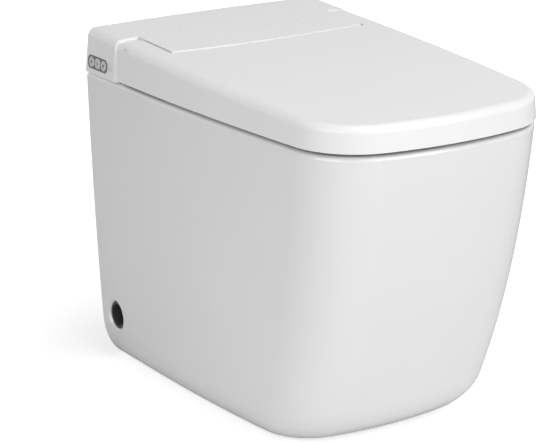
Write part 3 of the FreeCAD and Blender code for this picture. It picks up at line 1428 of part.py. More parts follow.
def make_electrics():
    """Power supply and control board."""
    plate = size("plate_top")
    case = box("power_case", 76, 138, -76, -16, plate + 0.1, plate + 34)
    lugs = box("power_lugs", 72, 142, -50, -40, plate + 0.1, plate + 3)
    piece(fused("power_shape", case, lugs), "power_supply")
    board = box("board_sheet", -177, -175.4, -80, -26, plate + 2, plate + 40)
    chips = [box("board_chip_0", -175.5, -172, -74, -56, plate + 8, plate + 22),
             box("board_chip_1", -175.5, -170, -50, -40, plate + 10, plate + 30),
             box("board_foot", -177, -168, -80, -74, plate + 0.1, plate + 6)]
    piece(fused("board_shape", board, *chips), "control_board")


def make_floor_fixings():
    """Angle brackets on the floor, and the sleeves and screws low in the pan's sides."""
    y, z = size("fixing_y"), size("fixing_z")
    upright = box("bracket_upright", 108, 113, -66, -12, 0, 96)
    bolt_x = size("floor_bolt_x")
    foot = box("bracket_foot", bolt_x - 9, 109, -66, -12, 0, 5)
    bracket = fused("bracket_solid", upright, foot)
    holes = group("bracket_holes", rod_x("bracket_hole", 100, 120, y, z, 4.3), rod_z("bracket_slot", bolt_x, y, -1, 6, 4.3))
    piece(mirrored("bracket_pair", boolean("Cut", "bracket_cut", bracket, holes)), "floor_brackets")
    tube = rod_x("sleeve_tube", 155, 174, y, z, size("fixing_hole") - 0.5)
    lumen = rod_x("sleeve_lumen", 158, 175, y, z, size("fixing_hole") - 4)
    eye = rod_x("sleeve_eye", 154, 160, y, z, 4.4)
    sleeve = boolean("Cut", "sleeve_solid", tube, group("sleeve_cut", lumen, eye))
    piece(mirrored("sleeve_pair", sleeve), "fixing_sleeves")
    head = rod_x("fixing_head", 158.1, 163, y, z, 8)
    shank = rod_x("fixing_shank", 104, 159, y, z, 4)
    piece(mirrored("fixing_pair", fused("fixing_solid", head, shank)), "fixing_screws")
    bolt_head = rod_z("floor_head", bolt_x, y, 5.1, 10, 7)
    bolt_shank = rod_z("floor_shank", bolt_x, y, 0, 6, 4)
    piece(mirrored("floor_pair", fused("floor_solid", bolt_head, bolt_shank)), "floor_bolts")


make_pan()
make_housing()
make_panel()
make_lid()
make_liner()
make_seat()
make_hinge()
make_plate()
make_nozzles()
make_dryer()
make_water()
make_electrics()
make_floor_fixings()


def check_and_export():
    """Stop if any object failed; otherwise write each piece to its own file."""
    doc.recompute()
    for item in doc.Objects:
        if "Invalid" in item.State or "Error" in item.State:
            raise RuntimeError(f"{item.Name} ({item.Label}) did not compute: {item.State}")
    os.makedirs("parts", exist_ok=True)
    for item in PIECES:
        shape = item.Shape
        if shape.isNull() or not shape.isValid():
            raise RuntimeError(f"{item.Label} has no valid shape")
        shape.exportStep(f"parts/{item.Label}.step")
        box = shape.BoundBox
        print(f"{item.Label:22s} {len(shape.Solids)} solid(s) {shape.Volume / 1000:9.2f} cm3 "
              f"x {box.XMin:.1f}..{box.XMax:.1f} y {box.YMin:.1f}..{box.YMax:.1f} "
              f"z {box.ZMin:.1f}..{box.ZMax:.1f}")


check_and_export()
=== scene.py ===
# %% [markdown]
# # A smart toilet with a heated seat
#
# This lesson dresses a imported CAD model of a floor-standing toilet. The model's parts already lie
# where they belong, so each cell adds a finish, a smooth skin or a small detail in the same frame.
# Lengths are metres, the user stands at -Y, the wall is at +Y and the floor is at Z = 0.

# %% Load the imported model
import bpy
import bmesh
import json
import math
import numpy as np
from mathutils import Matrix, Vector


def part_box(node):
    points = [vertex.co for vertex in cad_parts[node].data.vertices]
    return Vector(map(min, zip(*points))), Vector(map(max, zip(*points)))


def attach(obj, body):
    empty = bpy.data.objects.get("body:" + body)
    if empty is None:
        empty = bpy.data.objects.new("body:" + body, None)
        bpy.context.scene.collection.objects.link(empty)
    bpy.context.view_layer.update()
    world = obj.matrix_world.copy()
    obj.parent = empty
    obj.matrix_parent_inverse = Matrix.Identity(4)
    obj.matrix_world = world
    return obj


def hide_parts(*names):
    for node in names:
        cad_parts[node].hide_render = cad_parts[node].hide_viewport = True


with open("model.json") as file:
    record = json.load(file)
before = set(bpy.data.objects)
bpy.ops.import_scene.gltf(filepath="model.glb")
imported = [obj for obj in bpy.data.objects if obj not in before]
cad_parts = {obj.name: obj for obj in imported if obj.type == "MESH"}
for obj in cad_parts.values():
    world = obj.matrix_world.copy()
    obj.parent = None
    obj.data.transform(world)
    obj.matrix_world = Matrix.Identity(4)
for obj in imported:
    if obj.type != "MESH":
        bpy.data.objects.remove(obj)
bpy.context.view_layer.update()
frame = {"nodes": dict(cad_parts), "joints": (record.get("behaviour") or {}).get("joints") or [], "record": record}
bpy.context.scene.view_settings.view_transform = "Standard"
nodes = frame["nodes"]
MM = 0.001
WALL_Y = 304.75 * MM
print("nodes:", len(nodes))

# %% [markdown]
# ## The camera
#
# The photograph was taken with a long lens from the front left, a little above the lid. A camera
# needs a place, a direction and a focal length. All three were solved beforehand from the object's
# outline in the photograph, so the numbers are simply written down.

# %% Place the camera
IMAGE_WIDTH = 544
FOCAL_PIXELS = 2329.03
SENSOR_WIDTH = 36.0
FARTHEST_SEEN = 60.0
CAMERA_PLACE = Vector((-1.6370, WALL_Y - 2.8174, 1.1735))
CAMERA_RIGHT = Vector((0.8480, -0.5299, -0.0113))
CAMERA_UP = Vector((0.1645, 0.2429, 0.9560))


def place_camera():
    """The scene's camera, turned so that its own x and y lie along the two directions above."""
    data = bpy.data.cameras.new("photo_camera")
    data.sensor_width = SENSOR_WIDTH
    data.lens = SENSOR_WIDTH * FOCAL_PIXELS / IMAGE_WIDTH
    data.clip_end = FARTHEST_SEEN
    camera = bpy.data.objects.new("photo_camera", data)
    right = CAMERA_RIGHT.normalized()
    back = right.cross(CAMERA_UP).normalized()
    up = back.cross(right)
    turn = Matrix((right, up, back)).transposed().to_4x4()
    camera.matrix_world = Matrix.Translation(CAMERA_PLACE) @ turn
    bpy.context.collection.objects.link(camera)
    bpy.context.scene.camera = camera
    return camera


camera = place_camera()
print("lens:", round(camera.data.lens, 2), "mm")

# %% [markdown]
# ## Helpers for trees of nodes
#
# The light, the finishes and the grown pieces below are all trees of nodes. One helper sets the
# inputs of a node, each to a plain value or to another node's output. One more adds a node with
# its settings, and the third does a calculation with numbers.

# %% Add and wire nodes
def wire(tree, node, wires):
    """Set inputs of a node: wires maps each to another node's output or to a plain value."""
    for socket, source in wires.items():
        if isinstance(source, bpy.types.NodeSocket):
            tree.links.new(source, node.inputs[socket])
        else:
            node.inputs[socket].default_value = source
    return node


def add(tree, kind, wires=None, **settings):
    """A new node with its settings and its inputs set."""
    node = tree.nodes.new(kind)
    for name, value in settings.items():
        setattr(node, name, value)
    return wire(tree, node, wires or {})


def math_node(tree, operation, first, second=0.0, clamp=False):
    """The result of a calculation with one or two numbers."""
    settings = {"operation": operation, "use_clamp": clamp}
    return add(tree, "ShaderNodeMath", {0: first, 1: second}, **settings).outputs[0]


print("node helpers:", [helper.__name__ for helper in (wire, add, math_node)])

# %% [markdown]
# ## Studio light
#
# White sanitaryware is photographed between large soft lamps: one in front makes the front the
# brightest side, one overhead lights the lid, and a weaker one on the left keeps the long side
# from going grey. Three area lamps do that here, and the world adds a little even light. The
# background is white only for the camera, for mirrors and for glass, so that it adds no light to
# the object.

# %% Light the studio
WORLD_LIGHT = 0.17
WHITE = (1.0, 1.0, 1.0, 1.0)


def light_world():
    """An even light for the object, and plain white for the camera, for mirrors and for glass."""
    world = bpy.data.worlds.new("white_tent")
    bpy.context.scene.world = world
    world.use_nodes = True
    tree = world.node_tree
    tree.nodes.clear()
    path = add(tree, "ShaderNodeLightPath")
    mirrored = math_node(tree, "ADD", path.outputs["Is Camera Ray"], path.outputs["Is Glossy Ray"])
    seen = math_node(tree, "ADD", mirrored, path.outputs["Is Transmission Ray"], clamp=True)
    even = add(tree, "ShaderNodeBackground", {"Color": WHITE, "Strength": WORLD_LIGHT})
    plain = add(tree, "ShaderNodeBackground", {"Color": WHITE, "Strength": 1.0})
    mix = add(tree, "ShaderNodeMixShader", {0: seen, 1: even.outputs[0], 2: plain.outputs[0]})
    add(tree, "ShaderNodeOutputWorld", {"Surface": mix.outputs[0]})


def area_lamp(name, place, target, size, power):
    """A rectangular soft lamp that shines at its target."""
    data = bpy.data.lights.new(name, "AREA")
    data.shape = "RECTANGLE"
    data.size, data.size_y = size
    data.energy = power
    lamp = bpy.data.objects.new(name, data)
    lamp.location = place
    aim = Vector(target) - Vector(place)
    lamp.rotation_euler = aim.to_track_quat("-Z", "Y").to_euler()
    bpy.context.collection.objects.link(lamp)
    return lamp


light_world()
lamps = [
    area_lamp("front_softbox", (0.9, -3.4, 1.5), (0.0, 0.0, 0.3), (2.0, 1.6), 45.5),
    area_lamp("top_softbox", (0.3, -1.2, 2.8), (0.0, 0.0, 0.4), (2.4, 2.4), 39.0),
    area_lamp("left_softbox", (-3.2, -0.9, 1.3), (0.0, 0.0, 0.3), (2.4, 1.8), 37.5),
]
print("lamps:", [lamp.name for lamp in lamps])

# %% [markdown]
# ## Floor
#
# A plain pale floor carries the object's soft shadow. A part of its white is a glow that only the
# camera sees, and the shadow comes from the diffuse part under it. The glow grows away from the
# object, so the floor fades into the white background with no horizon.

# %% Lay the floor
FLOOR_REACH = 6.0
FLOOR_GREY = 0.9
GLOW_LEAST = 0.6
GLOW_NEAR = 0.45
GLOW_FAR = 1.3


def floor_white():
    """A pale diffuse white under a glow that grows with the distance from the object."""
    material = bpy.data.materials.new("floor_white")
    material.use_nodes = True
    tree = material.node_tree
    path = add(tree, "ShaderNodeLightPath")
    place = add(tree, "ShaderNodeTexCoord")
    distance = add(tree, "ShaderNodeVectorMath", {0: place.outputs["Object"]}, operation="LENGTH")
    fade = add(tree, "ShaderNodeMapRange",
               {"Value": distance.outputs["Value"], "From Min": GLOW_NEAR, "From Max": GLOW_FAR,
                "To Min": GLOW_LEAST, "To Max": 1.0})
    glow = math_node(tree, "MULTIPLY", path.outputs["Is Camera Ray"], fade.outputs["Result"])
    wire(tree, tree.nodes["Principled BSDF"],
         {"Base Color": (FLOOR_GREY, FLOOR_GREY, FLOOR_GREY, 1.0), "Roughness": 0.8,
          "Specular IOR Level": 0.1, "Emission Color": WHITE, "Emission Strength": glow})
    return material


def studio_floor():
    """A large flat floor under the object."""
    mesh = bpy.data.meshes.new("studio_floor")
    corners = [(-1, -1), (1, -1), (1, 1), (-1, 1)]
    mesh.from_pydata([(x * FLOOR_REACH, y * FLOOR_REACH, 0) for x, y in corners], [], [(0, 1, 2, 3)])
    mesh.materials.append(floor_white())
    floor = bpy.data.objects.new("studio_floor", mesh)
    bpy.context.collection.objects.link(floor)
    return floor


floor = studio_floor()
print("floor:", floor.name)

# %% [markdown]
# ## Finishes
#
# Most of the object is white, and what tells china from plastic is how it shines: fired glaze is
# smooth like glass with a faint waviness, moulded plastic has a fine even peel. The helpers make a
# Principled shader and let noise on Object coordinates vary its colour, its roughness and its bump.

# %% Helpers for finishes
RAMP_STOPS = (0.3, 0.7)


def new_finish(name, colour, roughness, **constants):
    """A Principled material; a constant's name is its socket's, with lines for the spaces."""
    material = bpy.data.materials.new(name)
    material.use_nodes = True
    shader = material.node_tree.nodes["Principled BSDF"]
    shader.inputs["Base Color"].default_value = (*colour, 1.0)
    shader.inputs["Roughness"].default_value = roughness
    for socket, value in constants.items():
        shader.inputs[socket.replace("_", " ")].default_value = value
    return material


def drive(material, socket, source):
    """Let a node's output drive one socket of the material's shader."""
    wire(material.node_tree, material.node_tree.nodes["Principled BSDF"], {socket: source})


def object_noise(material, scale, detail=2.0):
    """Noise on Object coordinates."""
    tree = material.node_tree
    place = add(tree, "ShaderNodeTexCoord").outputs["Object"]
    noise = add(tree, "ShaderNodeTexNoise", {"Vector": place, "Scale": scale, "Detail": detail})
    return noise.outputs["Fac"]


def vary_colour(material, factor, low, high):
    """Blend two colours by a factor."""
    ramp = add(material.node_tree, "ShaderNodeValToRGB", {"Fac": factor})
    for stop, place, colour in zip(ramp.color_ramp.elements, RAMP_STOPS, (low, high)):
        stop.position = place
        stop.color = (*colour, 1.0)
    drive(material, "Base Color", ramp.outputs["Color"])


def vary_roughness(material, factor, low, high):
    """Let the roughness run between two values by a factor."""
    span = add(material.node_tree, "ShaderNodeMapRange", {"Value": factor, "To Min": low, "To Max": high})
    drive(material, "Roughness", span.outputs["Result"])


def add_bump(material, factor, strength, distance):
    """Raise and lower the surface's look by a factor."""
    bump = add(material.node_tree, "ShaderNodeBump",
               {"Height": factor, "Strength": strength, "Distance": distance})
    drive(material, "Normal", bump.outputs["Normal"])


print("colour stops of every finish:", RAMP_STOPS)

# %% [markdown]
# Three kinds of finish cover the whole object. China has a clear coat over its white body. Moulded
# plastic is a satin white with a fine peel. All the rest is a plain material with its own grain,
# which a high metallic value turns into bare metal.

# %% Mix the finishes
PLASTIC_TINT = 0.985
GRAIN_TINT = 0.86
GRAIN_SPREAD = 0.15


def white_glaze():
    """Vitreous china: a deep clear glaze over a white body, with the kiln's slow waviness."""
    china = new_finish("white_glaze", (0.86, 0.86, 0.855), 0.12, IOR=1.5, Coat_Weight=0.6,
                       Coat_Roughness=0.04)
    vary_colour(china, object_noise(china, scale=6.0), (0.85, 0.851, 0.848), (0.87, 0.87, 0.866))
    vary_roughness(china, object_noise(china, scale=40.0, detail=4.0), 0.1, 0.18)
    add_bump(china, object_noise(china, scale=9.0, detail=1.0), strength=0.05, distance=4.0 * MM)
    return china


def white_plastic(name, colour, low, high):
    """Injection-moulded cover plastic: a satin gloss with a fine peel."""
    plastic = new_finish(name, colour, low, IOR=1.49)
    tint = tuple(value * PLASTIC_TINT for value in colour)
    vary_colour(plastic, object_noise(plastic, scale=11.0), tint, colour)
    vary_roughness(plastic, object_noise(plastic, scale=120.0, detail=3.0), low, high)
    add_bump(plastic, object_noise(plastic, scale=320.0, detail=1.0), strength=0.03, distance=0.4 * MM)
    return plastic


def matt_finish(name, colour, roughness, grain=500.0, metallic=0.0):
    """Any plain material of the inner parts, with its own grain."""
    plain = new_finish(name, colour, roughness, Metallic=metallic)
    tint = tuple(value * GRAIN_TINT for value in colour)
    low, high = roughness * (1.0 - GRAIN_SPREAD), min(1.0, roughness * (1.0 + GRAIN_SPREAD))
    vary_colour(plain, object_noise(plain, scale=60.0, detail=4.0), tint, colour)
    vary_roughness(plain, object_noise(plain, scale=200.0), low, high)
    add_bump(plain, object_noise(plain, scale=grain), strength=0.15, distance=0.3 * MM)
    return plain


FINISHES = {
    "china": white_glaze(),
    "cover_plastic": white_plastic("cover_plastic", (0.9, 0.9, 0.9), 0.22, 0.3),
    "lid_plastic": white_plastic("lid_plastic", (0.905, 0.905, 0.905), 0.2, 0.28),
    "liner_plastic": white_plastic("liner_plastic", (0.86, 0.86, 0.86), 0.3, 0.4),
    "seat_plastic": white_plastic("seat_plastic", (0.88, 0.88, 0.88), 0.18, 0.26),
    "panel_plastic": matt_finish("panel_plastic", (0.19, 0.195, 0.195), 0.35, 1200.0),
    "button_plastic": matt_finish("button_plastic", (0.66, 0.67, 0.67), 0.35, 1200.0),
    "smoked_window": matt_finish("smoked_window", (0.86, 0.865, 0.865), 0.2, 1200.0),
    "heater_foil": matt_finish("heater_foil", (0.8, 0.76, 0.66), 0.35, 300.0, 0.9),
    "buffer_rubber": matt_finish("buffer_rubber", (0.72, 0.72, 0.71), 0.7),
    "steel": matt_finish("steel", (0.62, 0.62, 0.63), 0.3, 900.0, 1.0),
    "damper_plastic": matt_finish("damper_plastic", (0.1, 0.1, 0.11), 0.5),
    "inner_plastic": matt_finish("inner_plastic", (0.72, 0.72, 0.71), 0.45),
    "wand_plastic": white_plastic("wand_plastic", (0.85, 0.85, 0.84), 0.2, 0.3),
    "gear_plastic": matt_finish("gear_plastic", (0.8, 0.78, 0.7), 0.4),
    "motor_can": matt_finish("motor_can", (0.55, 0.55, 0.57), 0.35, 800.0, 0.95),
    "brass_fitting": matt_finish("brass_fitting", (0.78, 0.6, 0.3), 0.3, 800.0, 1.0),
    "heater_body": matt_finish("heater_body", (0.09, 0.09, 0.1), 0.5),
    "hose_rubber": matt_finish("hose_rubber", (0.6, 0.6, 0.6), 0.6),
    "pipe_plastic": matt_finish("pipe_plastic", (0.75, 0.75, 0.74), 0.4),
    "power_case": matt_finish("power_case", (0.2, 0.21, 0.22), 0.5, 700.0, 0.6),
    "board": matt_finish("board", (0.03, 0.2, 0.09), 0.4),
    "galvanised": matt_finish("galvanised", (0.55, 0.56, 0.58), 0.45, 250.0, 0.8),
    "sleeve_plastic": matt_finish("sleeve_plastic", (0.05, 0.05, 0.05), 0.5),
}
print("finishes:", len(FINISHES))

# %% [markdown]
# Every part of the CAD model names the material that it is made of, so its finish is looked up and
# put into the part's own material slot.

# %% Give each part its finish
def finish_nodes():
    """Put each part's finish into its slot; returns the number of parts."""
    for part in frame["record"]["subparts"]:
        node = nodes[part["node"]]
        node.data.materials.clear()
        node.data.materials.append(FINISHES[part["material_slot"]])
    return len(frame["record"]["subparts"])


print("finished parts:", finish_nodes())

# %% [markdown]
# ## How a piece joins the model
#
# A new piece needs a finish, which is looked up by the name of the record's slot that it belongs
# to, and the body that carries it when a joint moves. Where the piece stands for a part of the CAD
# model, that part is hidden. One helper does all three, and one more gives a smooth mesh sharp
# edges where its faces meet steeply.

# %% Join a piece to its body
SHARP_ANGLE = math.radians(30.0)


def shade(mesh):
    """Smooth shading, with sharp edges where two faces meet steeply."""
    mesh.shade_smooth()
    mesh.set_sharp_from_angle(angle=SHARP_ANGLE)


def join_piece(piece, body, slot, *replaced):
    """Give a piece the finish named by its slot and its body, and hide the parts that it stands for."""
    if piece.name not in bpy.context.collection.objects:
        bpy.context.collection.objects.link(piece)
    piece.data.materials.clear()
    piece.data.materials.append(FINISHES[slot])
    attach(piece, body)
    if replaced:
        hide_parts(*replaced)
    return piece


print("edges are sharp above", round(math.degrees(SHARP_ANGLE)), "degrees")

# %% [markdown]
# ## The covers' tight edges
#
# On the real lid and housing the tall sides turn into the crowned top over a narrow, crisp
# rounding, and the CAD covers have a wide one. A bevel could round the edge again, but it follows
# the triangles of the mesh. Here a rule does it instead. Both faces are known: the side leans in
# by four degrees from the pan's outline, and the top is part of a huge cylinder. So each point
# near the edge knows its depth under both, and moves away from the centre of the wide rounding
# until it meets the tight one.
#
# First the two faces. Each helper takes many points at once and gives their depths under the face
# and the face's outward directions there.

# %% Depth under the covers' two faces
PLAN = {"half": 190.0 * MM, "depth": 608.0 * MM, "straight": 150.0 * MM,
        "bow": 4090.0 * MM, "corner": 93.0 * MM, "nose": 492.0 * MM}
OVERHANG = 1.5 * MM
DRAFT = math.radians(4.0)
CROWN_RADIUS = 9000.0 * MM
CROWN_SLOPE = math.radians(2.3)
CROWN_TOP = 490.6 * MM
LEAST_LENGTH = 1e-9


def column(values):
    """Single values as a column, so that they scale whole rows."""
    return values[:, None]


def dot(first, second):
    """Row by row dot products."""
    return np.sum(first * second, axis=1)


def length(vectors):
    """The rows' lengths, never quite nothing, so that they can divide."""
    return np.maximum(np.linalg.norm(vectors, axis=1), LEAST_LENGTH)


def turn_of(vector):
    """The angle of a direction in plan."""
    return math.atan2(vector[1], vector[0])


def plan_centres():
    """Centres of the bowed side, of the round corner and of the nose, in the pan's plan."""
    side = np.array((PLAN["half"] - PLAN["bow"], -PLAN["straight"]))
    nose = np.array((0.0, PLAN["nose"] - PLAN["depth"]))
    from_side = PLAN["bow"] - PLAN["corner"]
    from_nose = PLAN["nose"] - PLAN["corner"]
    gap = nose - side
    span = math.hypot(*gap)
    along = (from_side ** 2 - from_nose ** 2 + span ** 2) / (2.0 * span)
    rise = math.sqrt(from_side ** 2 - along ** 2)
    unit = gap / span
    return side, side + unit * along + np.array((unit[1], -unit[0])) * rise, nose


SIDE_CENTRE, CORNER_CENTRE, NOSE_CENTRE = plan_centres()


def plan_depth(points):
    """Depth inside the pan's outline in plan, and the outline's outward direction."""
    flat = np.stack((np.abs(points[:, 0]), points[:, 1] - WALL_Y), axis=1)
    from_corner = flat - CORNER_CENTRE
    turn = np.arctan2(from_corner[:, 1], from_corner[:, 0])
    by_side = turn >= turn_of(CORNER_CENTRE - SIDE_CENTRE)
    by_nose = turn <= turn_of(CORNER_CENTRE - NOSE_CENTRE)
    centre = np.where(column(by_nose), NOSE_CENTRE, CORNER_CENTRE)
    centre = np.where(column(by_side), SIDE_CENTRE, centre)
    radius = np.where(by_side, PLAN["bow"], np.where(by_nose, PLAN["nose"], PLAN["corner"]))
    arm = flat - centre
    straight = flat[:, 1] > -PLAN["straight"]
    depth = np.where(straight, PLAN["half"] - flat[:, 0], radius - length(arm))
    outward = np.where(column(straight), np.array((1.0, 0.0)), arm / column(length(arm)))
    return depth, outward * np.stack((np.sign(points[:, 0]), np.ones(len(points))), axis=1)


def side_depth(points, low):
    """Depth under the leaning side of a cover whose lower edge is at the height low."""
    depth, outward = plan_depth(points)
    leaning = (depth + OVERHANG - (points[:, 2] - low) * math.tan(DRAFT)) * math.cos(DRAFT)
    return leaning, np.column_stack((outward * math.cos(DRAFT), np.full(len(points), math.sin(DRAFT))))


def crown_depth(points, drop):
    """Depth under the crowned top, which lies lower than the housing's by drop."""
    axis = np.array((0.0, -math.cos(CROWN_SLOPE), -math.sin(CROWN_SLOPE)))
    start = np.array((0.0, WALL_Y + CROWN_RADIUS * math.sin(CROWN_SLOPE),
                      CROWN_TOP - CROWN_RADIUS * math.cos(CROWN_SLOPE)))
    arms = points - start
    arms = arms - column(arms @ axis) * axis
    return CROWN_RADIUS - drop - length(arms), arms / column(length(arms))


print("corner's centre in plan:", [round(v / MM, 1) for v in CORNER_CENTRE], "mm")

# %% [markdown]
# Next the rule itself. From the centre of the wide rounding a point lies some way towards the side
# and some way towards the top, and the rule moves it where both ways are positive. It follows the
# ray from that centre through the point, and finds where the ray meets the side, the top or the
# small ball between them. The point keeps its share of the way, so the wall's inside follows its
# outside.

# %% Roll a smaller ball along the covers' edge
WIDE_ROUND = 22.0 * MM
TIGHT_ROUND = 12.0 * MM
SKIN = 0.5 * MM
GRAZING = 1e-6


def tightened(points, low, drop):
    """The points as the rule leaves them, the outside's directions there, the rays through them,
    which of them the rule moves, and which of those lie on the outside."""
    side, out = side_depth(points, low)
    top, up = crown_depth(points, drop)
    slant = dot(out, up)
    sideways = (WIDE_ROUND - side - slant * (WIDE_ROUND - top)) / (1.0 - slant ** 2)
    upwards = (WIDE_ROUND - top - slant * (WIDE_ROUND - side)) / (1.0 - slant ** 2)
    moved = (sideways > 0.0) & (upwards > 0.0)
    arms = column(sideways) * out + column(upwards) * up
    rays = arms / column(length(arms))
    to_side = WIDE_ROUND / np.maximum(dot(rays, out), GRAZING)
    to_top = WIDE_ROUND / np.maximum(dot(rays, up), GRAZING)
    # The small ball touches each face where the other face is this far away.
    tangent = TIGHT_ROUND * (1.0 - slant)
    on_side = WIDE_ROUND - to_side * dot(rays, up) >= tangent
    on_top = WIDE_ROUND - to_top * dot(rays, out) >= tangent
    centre = (out + up) * column((WIDE_ROUND - TIGHT_ROUND) / (1.0 + slant))
    ahead = dot(rays, centre)
    to_ball = ahead + np.sqrt(np.maximum(ahead ** 2 - dot(centre, centre) + TIGHT_ROUND ** 2, 0.0))
    far = np.where(on_side, to_side, np.where(on_top, to_top, to_ball))
    ball_out = (rays * column(far) - centre) / TIGHT_ROUND
    facing = np.where(column(on_side), out, np.where(column(on_top), up, ball_out))
    # A point on the outside counts as lying exactly on the wide rounding.
    skin = length(arms) > WIDE_ROUND - SKIN
    held = np.where(skin, WIDE_ROUND, length(arms))
    placed = points - arms + rays * column(held * far / WIDE_ROUND)
    return np.where(column(moved), placed, points), facing, rays, moved, skin & moved


print("the rounding goes from", WIDE_ROUND / MM, "to", TIGHT_ROUND / MM, "mm")

# %% [markdown]
# A tight rounding needs more faces across it than the CAD mesh has. So each triangle that the rule
# moves is first cut into a small grid of triangles. All of them are cut alike, and so the edge
# that two share gets the same points from both sides and no crack opens.

# %% Cut a triangle into a grid
GRID_CUTS = 3


def triangle_grid(cuts):
    """Shares of the three corners at the grid's points, and the small triangles between them."""
    spots = [(a, b) for a in range(cuts + 1) for b in range(cuts + 1 - a)]
    number = {spot: index for index, spot in enumerate(spots)}
    shares = np.array([(cuts - a - b, a, b) for a, b in spots]) / cuts
    small = []
    for a, b in spots:
        if a + b < cuts:
            small.append((number[a, b], number[a + 1, b], number[a, b + 1]))
        if a + b < cuts - 1:
            small.append((number[a + 1, b], number[a + 1, b + 1], number[a, b + 1]))
    return shares, np.array(small)


GRID_SHARES, GRID_TRIANGLES = triangle_grid(GRID_CUTS)
print("one triangle becomes", len(GRID_TRIANGLES))

# %% [markdown]
# The CAD mesh has smooth shading, because each corner of a triangle carries the direction in which
# the true surface faces there. The mesh is read with these directions, and the cut triangles are
# welded where their corners meet.

# %% Read and weld triangles
WELD = 0.001 * MM


def triangle_corners(mesh):
    """Places and directions of the corners of a mesh of triangles, three by three."""
    places = np.zeros(len(mesh.vertices) * 3)
    mesh.vertices.foreach_get("co", places)
    index = np.zeros(len(mesh.loops), int)
    mesh.loops.foreach_get("vertex_index", index)
    ways = np.zeros(len(mesh.loops) * 3)
    mesh.corner_normals.foreach_get("vector", ways)
    return places.reshape(-1, 3)[index].reshape(-1, 3, 3), ways.reshape(-1, 3, 3)


def welded_mesh(name, places, ways):
    """A mesh from loose triangles, welded where corners meet, with a direction for each corner."""
    steps = np.round(places.reshape(-1, 3) / WELD).astype(int)
    spots, index = np.unique(steps, axis=0, return_inverse=True)
    faces = index.reshape(-1, 3)
    first, second, third = faces.T
    whole = (first != second) & (second != third) & (third != first)
    mesh = bpy.data.meshes.new(name)
    mesh.from_pydata((spots * WELD).tolist(), [], faces[whole].tolist())
    mesh.shade_smooth()
    mesh.normals_split_custom_set(ways[whole].reshape(-1, 3))
    return mesh


print("corners closer than", WELD / MM, "mm become one")

# %% [markdown]
# Now the two covers. A corner on the side, on the top or on the new rounding gets the exact
# direction of that surface. All other corners keep the direction of the CAD mesh.

# %% Make the tight covers
SAME_WAY = 0.9
ON_FACE = 0.1 * MM
FACING = 0.5
LID_LOW = 430.6 * MM
LID_DROP = 1.2 * MM
HOUSING_LOW = 427.0 * MM
HOUSING_DROP = 0.0


def face_ways(places, ways, low, drop):
    """The exact outward directions for the corners that lie on the side or on the top."""
    points, result = places.reshape(-1, 3), ways.reshape(-1, 3)
    result = result / column(length(result))
    for depth, out in (side_depth(points, low), crown_depth(points, drop)):
        on_face = (np.abs(depth) < ON_FACE) & (dot(result, out) > FACING)
        result = np.where(column(on_face), out, result)
    return result.reshape(ways.shape)


def tight_cover(name, node, low, drop):
    """A copy of a cover with a tight rounding between its side and its top."""
    places, ways = triangle_corners(nodes[node].data)
    grid = np.einsum("gk,tkc->tgc", GRID_SHARES, places)
    grid_ways = np.einsum("gk,tkc->tgc", GRID_SHARES, ways).reshape(-1, 3)
    grid_ways = grid_ways / column(length(grid_ways))
    placed, facing, rays, moved, skin = tightened(grid.reshape(-1, 3), low, drop)
    outside = skin & (dot(grid_ways, rays) > SAME_WAY)
    grid_ways = np.where(column(outside), facing, grid_ways)
    cut = moved.reshape(len(places), -1).any(axis=1)
    fine = placed.reshape(grid.shape)[cut][:, GRID_TRIANGLES].reshape(-1, 3, 3)
    fine_ways = grid_ways.reshape(grid.shape)[cut][:, GRID_TRIANGLES].reshape(-1, 3, 3)
    all_places = np.concatenate((places[~cut], fine))
    all_ways = face_ways(all_places, np.concatenate((ways[~cut], fine_ways)), low, drop)
    mesh = welded_mesh(name, all_places, all_ways)
    print(name, "has", len(mesh.polygons), "faces,", int(cut.sum()), "triangles were cut finer")
    return bpy.data.objects.new(name, mesh)


lid_cover = tight_cover("lid_cover", "lid_shell", LID_LOW, LID_DROP)
join_piece(lid_cover, "lid_unit", "lid_plastic", "lid_shell")
rear_cover = tight_cover("rear_cover", "rear_housing", HOUSING_LOW, HOUSING_DROP)
join_piece(rear_cover, "toilet", "cover_plastic", "rear_housing")

# %% [markdown]
# ## Push buttons with soft edges
#
# A moulded button has a small radius round its face, and without it the button looks cut from
# sheet. The CAD buttons are plain, so a copy of each is welded, its flat faces are joined into one
# face each, and a Bevel modifier rounds the rim. Joining the triangles first matters, because a
# bevel would otherwise slide along their diagonals.

# %% Round the buttons
BUTTON_EDGE = 0.7 * MM
WINDOW_EDGE = 0.4 * MM
RIM_STEPS = 3
RIM_ANGLE = math.radians(50.0)
FLAT_ANGLE = math.radians(1.0)


def softened(name, node, width):
    """A copy of a node with whole flat faces and a rounded rim of the given width."""
    shape = bmesh.new()
    shape.from_mesh(nodes[node].data)
    bmesh.ops.remove_doubles(shape, verts=shape.verts, dist=WELD)
    bmesh.ops.dissolve_limit(shape, angle_limit=FLAT_ANGLE, verts=shape.verts, edges=shape.edges)
    mesh = bpy.data.meshes.new(name)
    shape.to_mesh(mesh)
    shape.free()
    shade(mesh)
    piece = bpy.data.objects.new(name, mesh)
    bevel = piece.modifiers.new("soft_rim", "BEVEL")
    bevel.width = width
    bevel.segments = RIM_STEPS
    bevel.angle_limit = RIM_ANGLE
    bevel.harden_normals = True
    return piece


BUTTONS = {"button_rear": "rear_button", "button_middle": "middle_button",
           "button_front": "front_button"}
for node, body in BUTTONS.items():
    join_piece(softened(body + "_cap", node, BUTTON_EDGE), body, "button_plastic", node)
status_lens = softened("status_lens", "status_window", WINDOW_EDGE)
join_piece(status_lens, "toilet", "smoked_window", "status_window")
print("soft caps:", len(BUTTONS) + 1)

